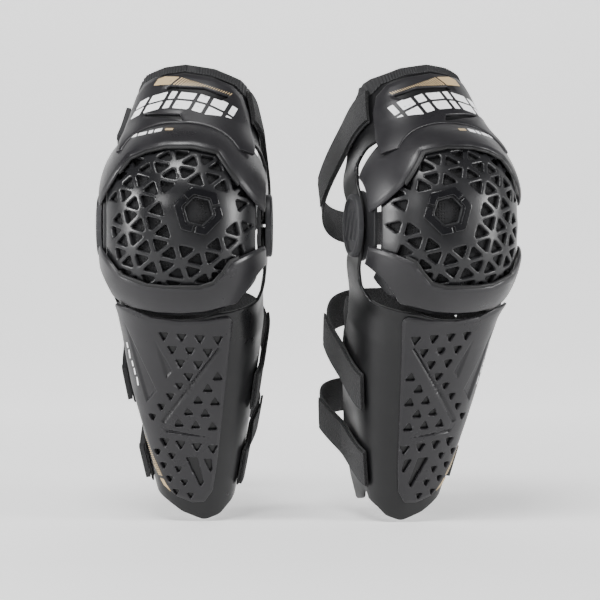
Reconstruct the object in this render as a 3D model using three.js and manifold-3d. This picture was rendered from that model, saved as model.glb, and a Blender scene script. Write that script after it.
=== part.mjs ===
// A pair of hinged knee and shin guards for motorcycle riding, in millimetres, +Z up, front towards -Y.
// Each guard is a thigh cuff, a knee cup and a shin guard. A link plate at each side of the knee
// carries two pivots, so that the cuff turns about the upper pivot and the shin about the lower one.
// One guard is built with +X towards the other leg, and its mirror image makes the second.

import * as THREE from 'three';
import { mergeVertices } from 'three/addons/utils/BufferGeometryUtils.js';
import Module from 'manifold-3d';

const wasm = await Module();
wasm.setup();

// Driving dimensions of one guard
const cupHalfWidth = 77;        // knee cup, on the hinge axis
const cupDepth = 84;            // hinge axis to the front of the knee cup
const cupRoundness = 2.3;       // superellipse power of the cup from side to side
const cupWall = 3;
const cupLowest = -56;          // degrees about the lower pivot
const cupHighest = 60;          // degrees about the upper pivot
const cupTrim = cupHalfWidth - 7;   // half width at which the cup stops against the link plates
const slideGap = 2.5;           // between the cup and whatever slides over it
const bandWall = 3;
const bandTrim = cupHalfWidth + 2;  // half width at which the bands stop beside the hinge caps
const bandEye = 27;             // radius of the bands' clearance round the hinge caps
const pivotHalf = 13.5;         // half the distance between the two pivots
const plateGap = 0.4;           // between pieces that lie on each other
const linkWall = 3;
const armWall = 3;
const shellWall = 3;
const linerWall = 7;
const edgeGap = 0.6;            // between the bands and the front edges of the bases
const creaseGap = 1;            // between the upper band and the cuff's shell
const capWall = 5.5;            // hinge cap
const capRadius = 20;
const capHalfHeight = pivotHalf + 16;
const capRim = 4;
const capRecess = 1.5;
const armRadius = 12.5;
const armOuter = cupTrim + plateGap + linkWall + plateGap + armWall;
const armFlat = 22;             // how far along a limb its arms' flat sides last
const armBlend = 62;            // where they have blended into the limb's own round form
const linkRadius = 19.5;
const linkMargin = 3.8;         // between the link plate's lobe and the bands' swept inner face
const pinRadius = 4;
const pinHeadRadius = 6.5;
const pinHeadHeight = 1.8;
const pinClearance = 0.3;
const cuffTilt = 32;            // degrees that the cuff leans back from the knee
const shinTilt = 23;            // degrees that the shin leans back from the knee
const cuffLength = 150;         // pivot to the far end of the cuff
const shinLength = 290;
const cuffReach = 80.5;         // limb axis to the front of the cuff, beside the knee
const cuffRecede = 0.1;         // how much less that is for each millimetre up the cuff
const shinReach = 78;
const sideEnd = -22;            // straight sides of both limbs end this far behind their axes
const sideRoom = 1;             // least distance from the limbs' axes to their straight sides' front ends
const limbDrift = 6;            // how far both limbs lean towards the other leg
const cuffRimWidth = 50;        // half width of the cuff at its far end
const ankleWidth = 39;          // half width of the shin at its far end
const kneeWidth = cupHalfWidth - 5; // half width of the shin just below the knee
const shellTurn = 74;           // turn about a limb at which its shell ends on the outer side
const slotTurn = 58;            // turn at which the cuff's strap slot lies, on the inner side
const slotRoom = 5;             // degrees that the cuff's shell stops short of that slot
const limbRoundness = 2.7;      // superellipse power of the cuff and the shin
const sectionDepth = 1.05;      // depth of their round front, as a share of their half width
const strapWall = 2.4;
const strapWidth = 38;
const strapGap = 1;
const strapRoundness = 2.6;     // superellipse power of the loop behind the leg
const tabWall = 2.4;
const hookWall = 5;
const latticeSide = 22;         // triangular holes of the knee cup
const latticeTurn = -18;        // degrees that their rows drop towards the other leg
const holeSide = 15;
const cupSolidRim = 8.5;        // width without holes above and below, and at each side of the knee cup
const cupSolidEnd = 14;
const cupSolidShare = 0.2;      // share of the opening's width that has no holes either
const shinHoleSide = 9.5;
const badgeX = 20;              // six-sided badge on the knee cup
const badgeZ = 13;
const badgeReach = 22;
const badgeWidth = 4.5;
const badgeWall = 1.7;
const guardSpacing = 233;       // between the hinge centres of the two guards
const leftGuardX = -109;        // hinge centre of the left guard
const leftYaw = -2;             // degrees that each guard is turned about the vertical
const rightYaw = 21;

// Finishes
const finish = (name, color, roughness, metalness = 0) =>
  new THREE.MeshStandardMaterial({ name, color, roughness, metalness });
const finishes = {
  shell: finish('shell_plastic', 0x323135, 0.42),
  base: finish('base_plastic', 0x0c0c0e, 0.5),
  cup: finish('cup_plastic', 0x1c1c1f, 0.42),
  strap: finish('strap_fabric', 0x0b0b0c, 0.95),
  liner: finish('liner_foam', 0x101011, 0.9),
  pin: finish('pin_steel', 0x8a8c90, 0.3, 1),
};

// The outlines below are drawn on a guard of these sizes, and are stretched to the guard's own.
const drawnHalfWidth = 77;
const drawnLength = { cuff: 150, shin: 290 };
const kneeZone = 75;            // length of a limb next to the knee that isn't stretched
const frontKneeZone = 106;      // the same, seen from the front

const rad = Math.PI / 180;
const signedPower = (value, exponent) => Math.sign(value) * Math.abs(value) ** exponent;
const steps = (from, to, count) =>
  Array.from({ length: count + 1 }, (_, i) => from + ((to - from) * i) / count);

// ---- Solids ----

// A closed mesh with only its positions, its shared vertices merged.
function welded(geometry) {
  const bare = geometry.index ? geometry.toNonIndexed() : geometry.clone();
  bare.deleteAttribute('normal');
  bare.deleteAttribute('uv');
  return mergeVertices(bare, 1e-4);
}

function solidOf(geometry) {
  const mesh = welded(geometry);
  return new wasm.Manifold(new wasm.Mesh({
    numProp: 3,
    vertProperties: new Float32Array(mesh.attributes.position.array),
    triVerts: new Uint32Array(mesh.index.array),
  }));
}

function geometryOf(solid) {
  const mesh = solid.getMesh();
  const geometry = new THREE.BufferGeometry();
  geometry.setAttribute('position', new THREE.BufferAttribute(new Float32Array(mesh.vertProperties), 3));
  geometry.setIndex(new THREE.BufferAttribute(new Uint32Array(mesh.triVerts), 1));
  return geometry;
}

// The wall between two offsets of a surface: point(u, v, offset) on a grid, closed along its four edges.
function wall(point, us, vs, inner, outer) {
  const positions = [];
  const index = [];
  const rows = us.length;
  const columns = vs.length;
  for (const offset of [inner, outer]) {
    for (const u of us) {
      for (const v of vs) positions.push(...point(u, v, offset));
    }
  }
  const at = (layer, i, j) => (layer * rows + i) * columns + j;
  const quad = (a, b, c, d) => index.push(a, b, c, a, c, d);
  for (let i = 0; i + 1 < rows; i += 1) {
    for (let j = 0; j + 1 < columns; j += 1) {
      quad(at(1, i, j), at(1, i + 1, j), at(1, i + 1, j + 1), at(1, i, j + 1));
      quad(at(0, i, j), at(0, i, j + 1), at(0, i + 1, j + 1), at(0, i + 1, j));
    }
    quad(at(0, i, 0), at(0, i + 1, 0), at(1, i + 1, 0), at(1, i, 0));
    quad(at(0, i, columns - 1), at(1, i, columns - 1), at(1, i + 1, columns - 1), at(0, i + 1, columns - 1));
  }
  for (let j = 0; j + 1 < columns; j += 1) {
    quad(at(0, 0, j), at(1, 0, j), at(1, 0, j + 1), at(0, 0, j + 1));
    quad(at(0, rows - 1, j), at(0, rows - 1, j + 1), at(1, rows - 1, j + 1), at(1, rows - 1, j));
  }
  return closedSolid(positions, index);
}

// The solid of a closed mesh, turned the right way out.
function closedSolid(positions, index) {
  const corner = (i) => new THREE.Vector3().fromArray(positions, 3 * index[i]);
  let volume = 0;
  for (let i = 0; i < index.length; i += 3) volume += corner(i).dot(corner(i + 1).cross(corner(i + 2)));
  const order = volume < 0 ? [0, 2, 1] : [0, 1, 2];
  const faces = [];
  for (let i = 0; i < index.length; i += 3) order.forEach((k) => faces.push(index[i + k]));
  const geometry = new THREE.BufferGeometry();
  geometry.setAttribute('position', new THREE.Float32BufferAttribute(positions, 3));
  geometry.setIndex(faces);
  return solidOf(geometry);
}

const shapeOf = (points) => new THREE.Shape(points.map(([x, y]) => new THREE.Vector2(x, y)));

// An outline drawn from the front as (x, z), carried from one depth y to another.
function frontPrism(outline, from, to) {
  const geometry = new THREE.ExtrudeGeometry(shapeOf(outline), { depth: to - from, bevelEnabled: false });
  geometry.rotateX(Math.PI / 2);
  geometry.translate(0, to, 0);
  return solidOf(geometry);
}

// An outline drawn from the side as (y, z), carried from one x to another.
function sidePrism(outline, from, to) {
  const shape = outline instanceof THREE.Shape ? outline : shapeOf(outline);
  const shapeSteps = 8;
  const geometry = new THREE.ExtrudeGeometry(
    shape, { depth: to - from, bevelEnabled: false, curveSegments: shapeSteps });
  geometry.applyMatrix4(new THREE.Matrix4().makeBasis(
    new THREE.Vector3(0, 1, 0), new THREE.Vector3(0, 0, 1), new THREE.Vector3(1, 0, 0)));
  geometry.translate(from, 0, 0);
  return solidOf(geometry);
}

// ---- Knee: surfaces turned about the pivots ----

// Half width x and reach r from the hinge axis at the turn t from side to side, in degrees.
function kneeSection(t, offset) {
  const x = (cupHalfWidth + offset) * signedPower(Math.sin(t * rad), 2 / cupRoundness);
  const r = (cupDepth + offset) * signedPower(Math.cos(t * rad), 2 / cupRoundness);
  return [x, r];
}

// The reach of the same section at the half width x.
function kneeReach(x, offset) {
  const share = Math.min(x / (cupHalfWidth + offset), 1) ** cupRoundness;
  return (cupDepth + offset) * (1 - share) ** (1 / cupRoundness);
}
const linkLobe = kneeReach(cupTrim + plateGap + linkWall, slideGap) - linkMargin;

// Lower half about the lower pivot, upper half about the upper one, and straight between them.
// v counts degrees beyond the straight stretch, which is -1 to 1.
function kneePoint(t, v, offset) {
  const [x, r] = kneeSection(t, offset);
  const turn = Math.sign(v) * Math.max(Math.abs(v) - 1, 0) * rad;
  const height = THREE.MathUtils.clamp(v, -1, 1) * pivotHalf;
  return [x, -r * Math.cos(turn), height + r * Math.sin(turn)];
}

// The filled form that a surface of the knee sweeps when it turns about one pivot.
function kneeSweep(pivotZ, offset) {
  const profile = steps(-90, 90, 14).map((t) => {
    const [x, r] = kneeSection(t, offset);
    return new THREE.Vector2(Math.abs(t) === 90 ? 0 : r, x);
  });
  const geometry = new THREE.LatheGeometry(profile, 32);
  geometry.rotateZ(-Math.PI / 2);
  geometry.translate(0, 0, pivotZ);
  return solidOf(geometry);
}

const cupColumns = steps(-80, 80, 10);
const cupRows = [...steps(cupLowest - 1, -1, 4), ...steps(1, cupHighest + 1, 4)];

// ---- Limbs: the cuff above the knee and the shin below it ----

// A limb runs from its pivot along a leaning axis: s is the distance along it, f is forward of it.
const cuff = {
  pivot: pivotHalf,
  along: [Math.sin(cuffTilt * rad), Math.cos(cuffTilt * rad)],
  front: [-Math.cos(cuffTilt * rad), Math.sin(cuffTilt * rad)],
  halfWidth: (s) => THREE.MathUtils.lerp(
    cupHalfWidth, cuffRimWidth, THREE.MathUtils.clamp((s - 30) / (cuffLength - 30), 0, 1.1)),
  drift: (s) => limbDrift * THREE.MathUtils.clamp((s - 20) / 60, 0, 1),
  reach: (s) => cuffReach - cuffRecede * s,
  sideEnd,
  length: cuffLength,
  stretch: (cuffLength - kneeZone) / (drawnLength.cuff - kneeZone),
  rows: 4,
};
const shin = {
  pivot: -pivotHalf,
  along: [Math.sin(shinTilt * rad), -Math.cos(shinTilt * rad)],
  front: [-Math.cos(shinTilt * rad), -Math.sin(shinTilt * rad)],
  halfWidth: (s) => kneeWidth + (ankleWidth - kneeWidth)
    * THREE.MathUtils.clamp((s - 60) / (shinLength - 90), 0, 1.2) ** 1.3,
  drift: (s) => limbDrift * THREE.MathUtils.clamp((s - 20) / 60, 0, 1),
  reach: () => shinReach,
  sideEnd,
  length: shinLength,
  stretch: (shinLength - kneeZone) / (drawnLength.shin - kneeZone),
  rows: 6,
};
// Near the pivots a limb's outer skin flares out to the arms, whose sides are flat.
const limbFlare = (s) => 1 - THREE.MathUtils.smoothstep(s, armFlat, armBlend);

function limbHalfWidth(limb, s) {
  const skinAtArm = armOuter + plateGap + shellWall;
  return THREE.MathUtils.lerp(limb.halfWidth(Math.max(s, armFlat)), skinAtArm, limbFlare(s));
}

// Depth of a limb's round front, ahead of its straight sides.
function limbDepth(limb, s) {
  const depth = Math.min(sectionDepth * limbHalfWidth(limb, s), limb.reach(s) - sideRoom);
  return THREE.MathUtils.lerp(depth, limb.reach(s) - armFlat, limbFlare(s));
}

const onLimb = (limb, x, f, s) => [
  x,
  limb.front[0] * f + limb.along[0] * s,
  limb.pivot + limb.front[1] * f + limb.along[1] * s,
];

// The skin of a limb: u from -90 to 90 degrees goes round the front, and 91 is the end of a straight side.
function limbSection(limb, u, s, offset) {
  const half = limbHalfWidth(limb, s) + offset;
  const depth = limbDepth(limb, s);
  const centre = limb.reach(s) - depth;
  const turn = THREE.MathUtils.clamp(u, -90, 90) * rad;
  const x = half * signedPower(Math.sin(turn), 2 / limbRoundness) + limb.drift(s);
  const round = (depth + offset) * signedPower(Math.max(Math.cos(turn), 0), 2 / limbRoundness);
  const side = Math.max(Math.abs(u) - 90, 0);
  if (side > 0) return [x, THREE.MathUtils.lerp(centre, limb.sideEnd, side)];
  return [x, centre + (Math.abs(u) === 90 ? 0 : round)];
}

function limbPoint(limb, u, s, offset) {
  return onLimb(limb, ...limbSection(limb, u, s, offset), s);
}

const frontColumns = steps(-90, 90, 8);
const allColumns = [-91, ...frontColumns, 91];

// Every wall of a limb bends at the same rows, so that the gaps between its layers stay even.
function limbRows(limb, s0, s1) {
  const rows = [...steps(armFlat, armBlend, 3), ...steps(armBlend, limb.length, limb.rows).slice(1)];
  return [s0, ...rows.filter((s) => s > s0 && s < s1), s1];
}

// A wall of a limb between two offsets, from s0 to s1 along it.
function limbWall(limb, us, [s0, s1], inner, outer) {
  return wall((u, s, offset) => limbPoint(limb, u, s, offset), us, limbRows(limb, s0, s1), inner, outer);
}

// The filled form of a limb out to an offset, as a room for pieces that lie outside it.
function limbFill(limb, [s0, s1], offset) {
  const us = allColumns;
  const vs = limbRows(limb, s0, s1);
  const positions = [];
  const index = [];
  for (const s of vs) for (const u of us) positions.push(...limbPoint(limb, u, s, offset));
  const n = us.length;
  for (let i = 0; i + 1 < vs.length; i += 1) {
    for (let j = 0; j < n; j += 1) {
      const k = (j + 1) % n;
      index.push(i * n + j, i * n + k, (i + 1) * n + k, i * n + j, (i + 1) * n + k, (i + 1) * n + j);
    }
  }
  const last = (vs.length - 1) * n;
  for (let j = 1; j + 1 < n; j += 1) index.push(0, j + 1, j, last, last + j, last + j + 1);
  return closedSolid(positions, index);
}

// The distance along a limb at which a size drawn at s lies.
const alongLimb = (limb, s) => (s > kneeZone ? kneeZone + (s - kneeZone) * limb.stretch : s);

// An outline drawn in a limb's own side view, as (f, s), turned into the guard's (y, z).
const limbOutline = (limb, points) => points.map(([f, s]) => onLimb(limb, 0, f, alongLimb(limb, s)).slice(1));

// A point drawn from the front, stretched to the width of the cup and to the length of its limb.
const fromFront = (limb) => ([x, z]) => {
  const beyond = Math.max(Math.abs(z) - frontKneeZone, 0);
  return [(x * cupHalfWidth) / drawnHalfWidth, z + Math.sign(z) * beyond * (limb.stretch - 1)];
};

// ---- The pieces of one guard ----

const slab = (halfX) => sidePrism([[-300, -400], [300, -400], [300, 300], [-300, 300]], -halfX, halfX);

// The opening of the two bands round the cup, from the front.
const upperOpening = [[-90, 18], [-79.5, 18], [-59, 48], [-44, 66], [-12, 74], [14, 74], [37, 68.6],
  [48, 52.6], [58, 37.6], [80.6, 10], [90, 10]];
const lowerOpening = [[90, -18.8], [79, -18.8], [49.8, -33.8], [42.3, -46], [33.6, -57], [-22.6, -56.4],
  [-54.5, -47], [-63.4, -35.7], [-81, -16.5], [-90, -16.5]];
const opening = [...upperOpening, ...lowerOpening].map(fromFront(cuff));

// Triangular holes on a lattice. Each hole is a triangle about its cell's middle, pointing up or down.
function triangle([x, z], side, turn) {
  const reach = side / Math.sqrt(3);
  return [90, 210, 330].map((a) => [
    x + reach * Math.cos((a + turn) * rad), z + reach * Math.sin((a + turn) * rad)]);
}

function inside([x, z], outline) {
  let within = false;
  outline.forEach(([x1, z1], i) => {
    const [x2, z2] = outline[(i + 1) % outline.length];
    if ((z1 > z) !== (z2 > z) && x < x1 + ((z - z1) / (z2 - z1)) * (x2 - x1)) within = !within;
  });
  return within;
}

function cupHoles() {
  const holes = [];
  const edge = opening.map(([x, z]) => [x * (1 - cupSolidShare), z - Math.sign(z) * cupSolidRim]);
  const [cx, sx] = [Math.cos(latticeTurn * rad), Math.sin(latticeTurn * rad)];
  const [cy, sy] = [Math.cos((latticeTurn + 60) * rad), Math.sin((latticeTurn + 60) * rad)];
  for (let i = -6; i <= 6; i += 1) {
    for (let j = -6; j <= 6; j += 1) {
      for (const [share, flip] of [[1 / 3, 0], [2 / 3, 180]]) {
        const a = (i + share) * latticeSide;
        const b = (j + share) * latticeSide;
        const middle = [a * cx + b * cy, a * sx + b * sy];
        const onBadge = Math.hypot(middle[0] - badgeX, middle[1] - badgeZ) < badgeReach + 5;
        if (inside(middle, edge) && Math.abs(middle[0]) < cupTrim - cupSolidEnd && !onBadge) {
          holes.push(triangle(middle, holeSide, latticeTurn + flip));
        }
      }
    }
  }
  return holes;
}

// The holes of the shin shell: rows of small triangles in groups that narrow with the shell.
const shinHoleGroups = [
  { start: [-16.2, -102.1], row: [7.3, -13], step: [16.9, -1.3], counts: [4, 3, 2, 1], flip: 180 },
  { start: [4.8, -141], row: [-9, -9.8], step: [0, 0], counts: [1, 1, 1, 1, 1], flip: 180 },
  { start: [33, -142.3], row: [-9.6, -11.4], step: [16, -1.6], counts: [1, 1, 2, 2, 3], flip: 0 },
  { start: [-20.2, -205.4], row: [0, 0], step: [15.5, -2.3], counts: [4], flip: 180 },
  { start: [-24, -217], row: [5.5, -13.3], step: [14.3, -3.5], counts: [2, 2, 2], flip: 180 },
];

function shinHoles() {
  const holes = [];
  for (const group of shinHoleGroups) {
    group.counts.forEach((count, i) => {
      for (let j = 0; j < count; j += 1) {
        const x = group.start[0] + group.row[0] * i + group.step[0] * j;
        const z = group.start[1] + group.row[1] * i + group.step[1] * j;
        holes.push(triangle(fromFront(shin)([x, z]), shinHoleSide, group.flip));
      }
    });
  }
  return holes;
}

const cutFromFront = (solid, outlines) =>
  outlines.reduce((rest, outline) => rest.subtract(frontPrism(outline, -160, -8)), solid);

function kneeCup() {
  const shell = wall(kneePoint, cupColumns, cupRows, -cupWall, 0).intersect(slab(cupTrim));
  return cutFromFront(shell, cupHoles());
}

function hexagon(reach) {
  return steps(0, 300, 5).map((a) => [
    badgeX + reach * Math.cos((a + latticeTurn) * rad), badgeZ + reach * Math.sin((a + latticeTurn) * rad)]);
}

function kneeBadge() {
  const skin = wall(kneePoint, cupColumns.slice(3, 9), cupRows.slice(3, 8), plateGap, plateGap + badgeWall);
  const ring = frontPrism(hexagon(badgeReach), -160, -8)
    .subtract(frontPrism(hexagon(badgeReach - badgeWidth), -170, 0));
  return skin.intersect(ring);
}

function kneeLiner() {
  const outer = -cupWall - plateGap;
  return wall(kneePoint, cupColumns.slice(2, -2), cupRows.slice(1, -1), outer - linerWall, outer);
}

// A disc about a pivot axis, from one x to another.
function disc(pivotZ, radius, from, to) {
  const shape = new THREE.Shape();
  shape.absarc(0, pivotZ, radius, 0, 2 * Math.PI);
  return sidePrism(shape, from, to);
}

// The link plate: an oval about both pivots, with a lobe that backs the flat end of the cup.
function linkPlate(side) {
  const from = cupTrim + plateGap;
  const [x0, x1] = side > 0 ? [from, from + linkWall] : [-from - linkWall, -from];
  const arc = (pivotZ, a0, a1) => steps(a0, a1, 4).map((a) => [
    -linkLobe * Math.cos(a * rad), pivotZ + linkLobe * Math.sin(a * rad)]);
  const lobe = [[0, -pivotHalf], ...arc(-pivotHalf, -45, 0), ...arc(pivotHalf, 0, 45), [0, pivotHalf]];
  const bar = [[-linkRadius, -pivotHalf], [linkRadius, -pivotHalf], [linkRadius, pivotHalf],
    [-linkRadius, pivotHalf]];
  let plate = sidePrism(lobe, x0, x1).add(sidePrism(bar, x0, x1));
  for (const z of [-pivotHalf, pivotHalf]) plate = plate.add(disc(z, linkRadius, x0, x1));
  for (const z of [-pivotHalf, pivotHalf]) {
    plate = plate.subtract(disc(z, pinRadius + pinClearance, x0 - 1, x1 + 1));
  }
  return plate;
}

// A pivot pin with its head on the inner side of the link plate.
function pivotPin(side, pivotZ) {
  const seat = cupTrim;
  const profile = [[0, seat - pinHeadHeight], [pinHeadRadius, seat - pinHeadHeight], [pinHeadRadius, seat],
    [pinRadius, seat], [pinRadius, armOuter], [0, armOuter]].map(([r, x]) => new THREE.Vector2(r, x));
  const geometry = new THREE.LatheGeometry(profile, 10);
  geometry.rotateZ(side > 0 ? -Math.PI / 2 : Math.PI / 2);
  geometry.translate(0, 0, pivotZ);
  return solidOf(geometry);
}

function hingeCap(side) {
  const from = armOuter + plateGap;
  const to = from + capWall;
  const oval = (inset) => {
    const shape = new THREE.Shape();
    shape.absellipse(0, 0, capRadius - inset, capHalfHeight - inset, 0, 2 * Math.PI);
    return shape;
  };
  const signedSpan = (a, b) => (side > 0 ? [a, b] : [-b, -a]);
  return sidePrism(oval(0), ...signedSpan(from, to))
    .subtract(sidePrism(oval(capRim), ...signedSpan(to - capRecess, to + 1)));
}

// Front edge of a base in its limb's side view, as (f, s), from the far side of the cup to the arm.
const frontEdge = [[95, 44], [40, 44], [24, 36], [14, 20]];

// The room that a base takes up, out to its outer face, for the bands that lie against it.
function baseRoom(limb) {
  const edge = frontEdge.map(([f, s]) => [f + edgeGap, s - edgeGap]);
  const outline = limbOutline(limb, [[-60, -30], [-60, 120], [95, 120], ...edge, [14 + edgeGap, -30]]);
  return limbFill(limb, [-armRadius - 1, 100], -shellWall).intersect(sidePrism(outline, -120, 120));
}

// A band slides over the cup about its own pivot, and stops round the hinge caps.
const bandOuter = slideGap + bandWall;

function band(limb, turns) {
  const skin = wall(
    (t, turn, offset) => {
      const [x, r] = kneeSection(t, offset);
      return [x, -r * Math.cos(turn * rad), limb.pivot + r * Math.sin(turn * rad)];
    }, steps(-80, 80, 10), turns, slideGap, bandOuter);
  const eye = disc(limb.pivot, bandEye, cupTrim, 200).add(disc(limb.pivot, bandEye, -200, -cupTrim));
  return skin.intersect(slab(bandTrim)).subtract(eye).subtract(frontPrism(opening, -160, -3))
    .subtract(baseRoom(limb));
}

const upperBand = () => band(cuff, steps(-10, 70, 5));

function lowerBand() {
  const outline = [[-90, -14], [-79, -40], [-65, -66.4], [-47, -76], [0.5, -81.4], [52.6, -72.4],
    [76, -40], [90, -14], [90, 30], [-90, 30]].map(fromFront(shin));
  return band(shin, steps(-56, 10, 4)).intersect(frontPrism(outline, -160, 0));
}

// The plastic base of a limb: a channel round the front, with an arm at each side about its pivot.
function limbBase(limb, sideOutline, frontOutline) {
  const inner = -shellWall - plateGap - armWall;
  const outer = -shellWall - plateGap;
  const channel = limbWall(limb, allColumns, [-armRadius - 1, limb.length], inner, outer);
  const arm = armRadius;
  const round = steps(0, 180, 6).map((a) => [arm * Math.cos(a * rad), -arm * Math.sin(a * rad)]);
  const outline = [...limbOutline(limb, round), ...limbOutline(limb, sideOutline)];
  return channel.intersect(sidePrism(outline, -120, 120))
    .intersect(frontPrism(frontOutline.map(fromFront(limb)), -200, 200))
    .subtract(kneeSweep(limb.pivot, slideGap).intersect(slab(cupTrim + 1)).intersect(inFront))
    .subtract(disc(limb.pivot, pinRadius + pinClearance, -120, 120));
}
// The cup and the bands only ever pass in front of the hinge axis.
const inFront = frontPrism([[-200, -300], [200, -300], [200, 300], [-200, 300]], -200, -6);

const cuffRim = [[-62, 112], [-53, 129], [-40, 146.5], [0, 154], [52.6, 140.6], [66, 126], [74, 112]];
function thighBase() {
  const back = [[-16, 20], [-14, 50], [5, 85], [27, 112], [45, 132], [60, 146], [95, 150]];
  const outline = [[-120, -60], [-120, 100], ...cuffRim, [120, 100], [120, -60]];
  return limbBase(cuff, [...back, ...frontEdge], outline);
}

const shinTip = [[120, -235], [46.5, -247], [41.4, -268], [14.8, -285.6], [-31, -260], [-44, -228],
  [-120, -210]];
function shinBase() {
  const back = [[-15, 22], [-8, 50], [0, 75], [-6, 110], [-10, 160], [-10, 215], [4, 250], [30, 286],
    [95, 289]];
  return limbBase(shin, [...back, ...frontEdge], [[-120, 60], [120, 60], ...shinTip]);
}

// A slot drawn from the front between two points, as a thin four-cornered outline.
function slot([x0, z0], [x1, z1], height) {
  const half = height / 2;
  return [[x0, z0 - half], [x1, z1 - half], [x1 + height / 3, z1 + half], [x0, z0 + half]];
}

function thighShell() {
  const outline = [[-63, 40], [-60, 76], [-55, 104], [-48, 126], [-37, 139], [0, 145], [46, 133],
    [58, 120], [62, 106], [72, 76], [72, 40]].map(fromFront(cuff));
  const us = [-shellTurn, ...steps(-67.5, 45, 5), slotTurn - slotRoom];
  const skin = limbWall(cuff, us, [24, alongLimb(cuff, 124)], -shellWall, 0);
  const shell = skin.intersect(frontPrism(outline, -160, 200))
    .subtract(kneeSweep(cuff.pivot, bandOuter + creaseGap));
  const slots = [slot([-17, 129.7], [43.8, 119.4], 4.5), slot([-37, 104], [1.2, 98], 4)];
  return cutFromFront(shell, slots.map((outlineOf) => outlineOf.map(fromFront(cuff))));
}

function shinShell() {
  const outline = [[-66, -69], [-26.5, -86], [0.5, -90], [49.8, -85.5], [35.4, -189], [25, -258.5],
    [16.4, -268], [-12, -260], [-30, -241], [-41, -201], [-55, -160]].map(fromFront(shin));
  const us = [-shellTurn, ...steps(-67.5, 67.5, 6)];
  const skin = limbWall(shin, us, [40, alongLimb(shin, 262)], -shellWall, 0);
  return cutFromFront(skin.intersect(frontPrism(outline, -160, 200)), shinHoles());
}

function limbLiner(limb, [s0, s1], us) {
  const outer = -shellWall - plateGap - armWall - plateGap;
  return limbWall(limb, us, [s0, alongLimb(limb, s1)], outer - linerWall, outer);
}

// ---- Straps ----

// A strap goes from a slot on the inner side of a limb, round the back of the leg, to the outer side.
// Its u follows the limb's skin from the slot to 90, the straight side to 91, the back to 271,
// the other straight side to 272, and the skin again. Its v runs from -1 to 1 across its width.
function strapPoint(limb, strap, u, v, offset) {
  const level = (f) => THREE.MathUtils.lerp(alongLimb(limb, strap.front), alongLimb(limb, strap.back),
    THREE.MathUtils.clamp((strap.slotReach - f) / (strap.slotReach + strap.depth), 0, 1));
  const side = u > 181 ? -1 : 1;
  const turn = u > 181 ? 362 - u : u;
  let f = -strap.depth;
  let x = 0;
  let s = strap.back;
  for (let pass = 0; pass < 3; pass += 1) {
    s = level(f) + (v * strapWidth) / 2;
    const skin = offset - shellWall - plateGap + strapGap;
    if (turn <= 91) {
      [x, f] = limbSection({ ...limb, sideEnd: 0 }, side * turn, s, skin);
    } else {
      const round = (turn - 91) * rad;
      const half = limbHalfWidth(limb, s) + skin + strap.bulge * Math.sin(round);
      x = side * half * signedPower(Math.max(Math.cos(round), 0), 2 / strapRoundness) + limb.drift(s);
      f = -(strap.depth + offset) * signedPower(Math.sin(round), 2 / strapRoundness);
    }
  }
  return onLimb(limb, turn === 181 ? limb.drift(s) : x, f, s);
}
const straps = {
  thigh: { limb: cuff, front: 88, back: 64, slotReach: 43, depth: 132, bulge: 10, start: slotTurn },
  upper: { limb: shin, front: 138, back: 108, slotReach: 40, depth: 84, bulge: 12, start: 67.5 },
  lower: { limb: shin, front: 217, back: 205, slotReach: 45, depth: 80, bulge: 26, start: 67.5 },
};

// Columns of the strap along the skin, in step with the skin's own.
const strapFront = (strap) => [strap.start, ...frontColumns.filter((u) => u > strap.start)];
const strapBack = steps(103, 259, 9);
const hookRows = [-0.8, 0, 0.8];
const tabRows = [-0.9, ...hookRows, 0.9];
const strapRows = [-1, ...tabRows, 1];
const strapEnd = 362 - shellTurn - 4;

function strapSolid({ limb, ...strap }) {
  const us = [...strapFront(strap), 91, ...strapBack, 271, 272, strapEnd];
  const point = (u, v, offset) => strapPoint(limb, strap, u, v, offset);
  return wall(point, us, strapRows, 0, strapWall);
}

function strapTab({ limb, ...strap }) {
  const us = [...strapFront(strap), 91, ...strapBack.slice(0, 2)];
  const inner = strapWall + plateGap;
  const point = (u, v, offset) => strapPoint(limb, strap, u, v, offset);
  return wall(point, us, tabRows, inner, inner + tabWall);
}

function strapHook({ limb, ...strap }) {
  const us = [...strapBack.slice(-1), 271, 272, strapEnd];
  const inner = strapWall + plateGap;
  const point = (u, v, offset) => strapPoint(limb, strap, u, v, offset);
  return wall(point, us, hookRows, inner, inner + hookWall);
}

// ---- One guard, then the pair ----

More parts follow.
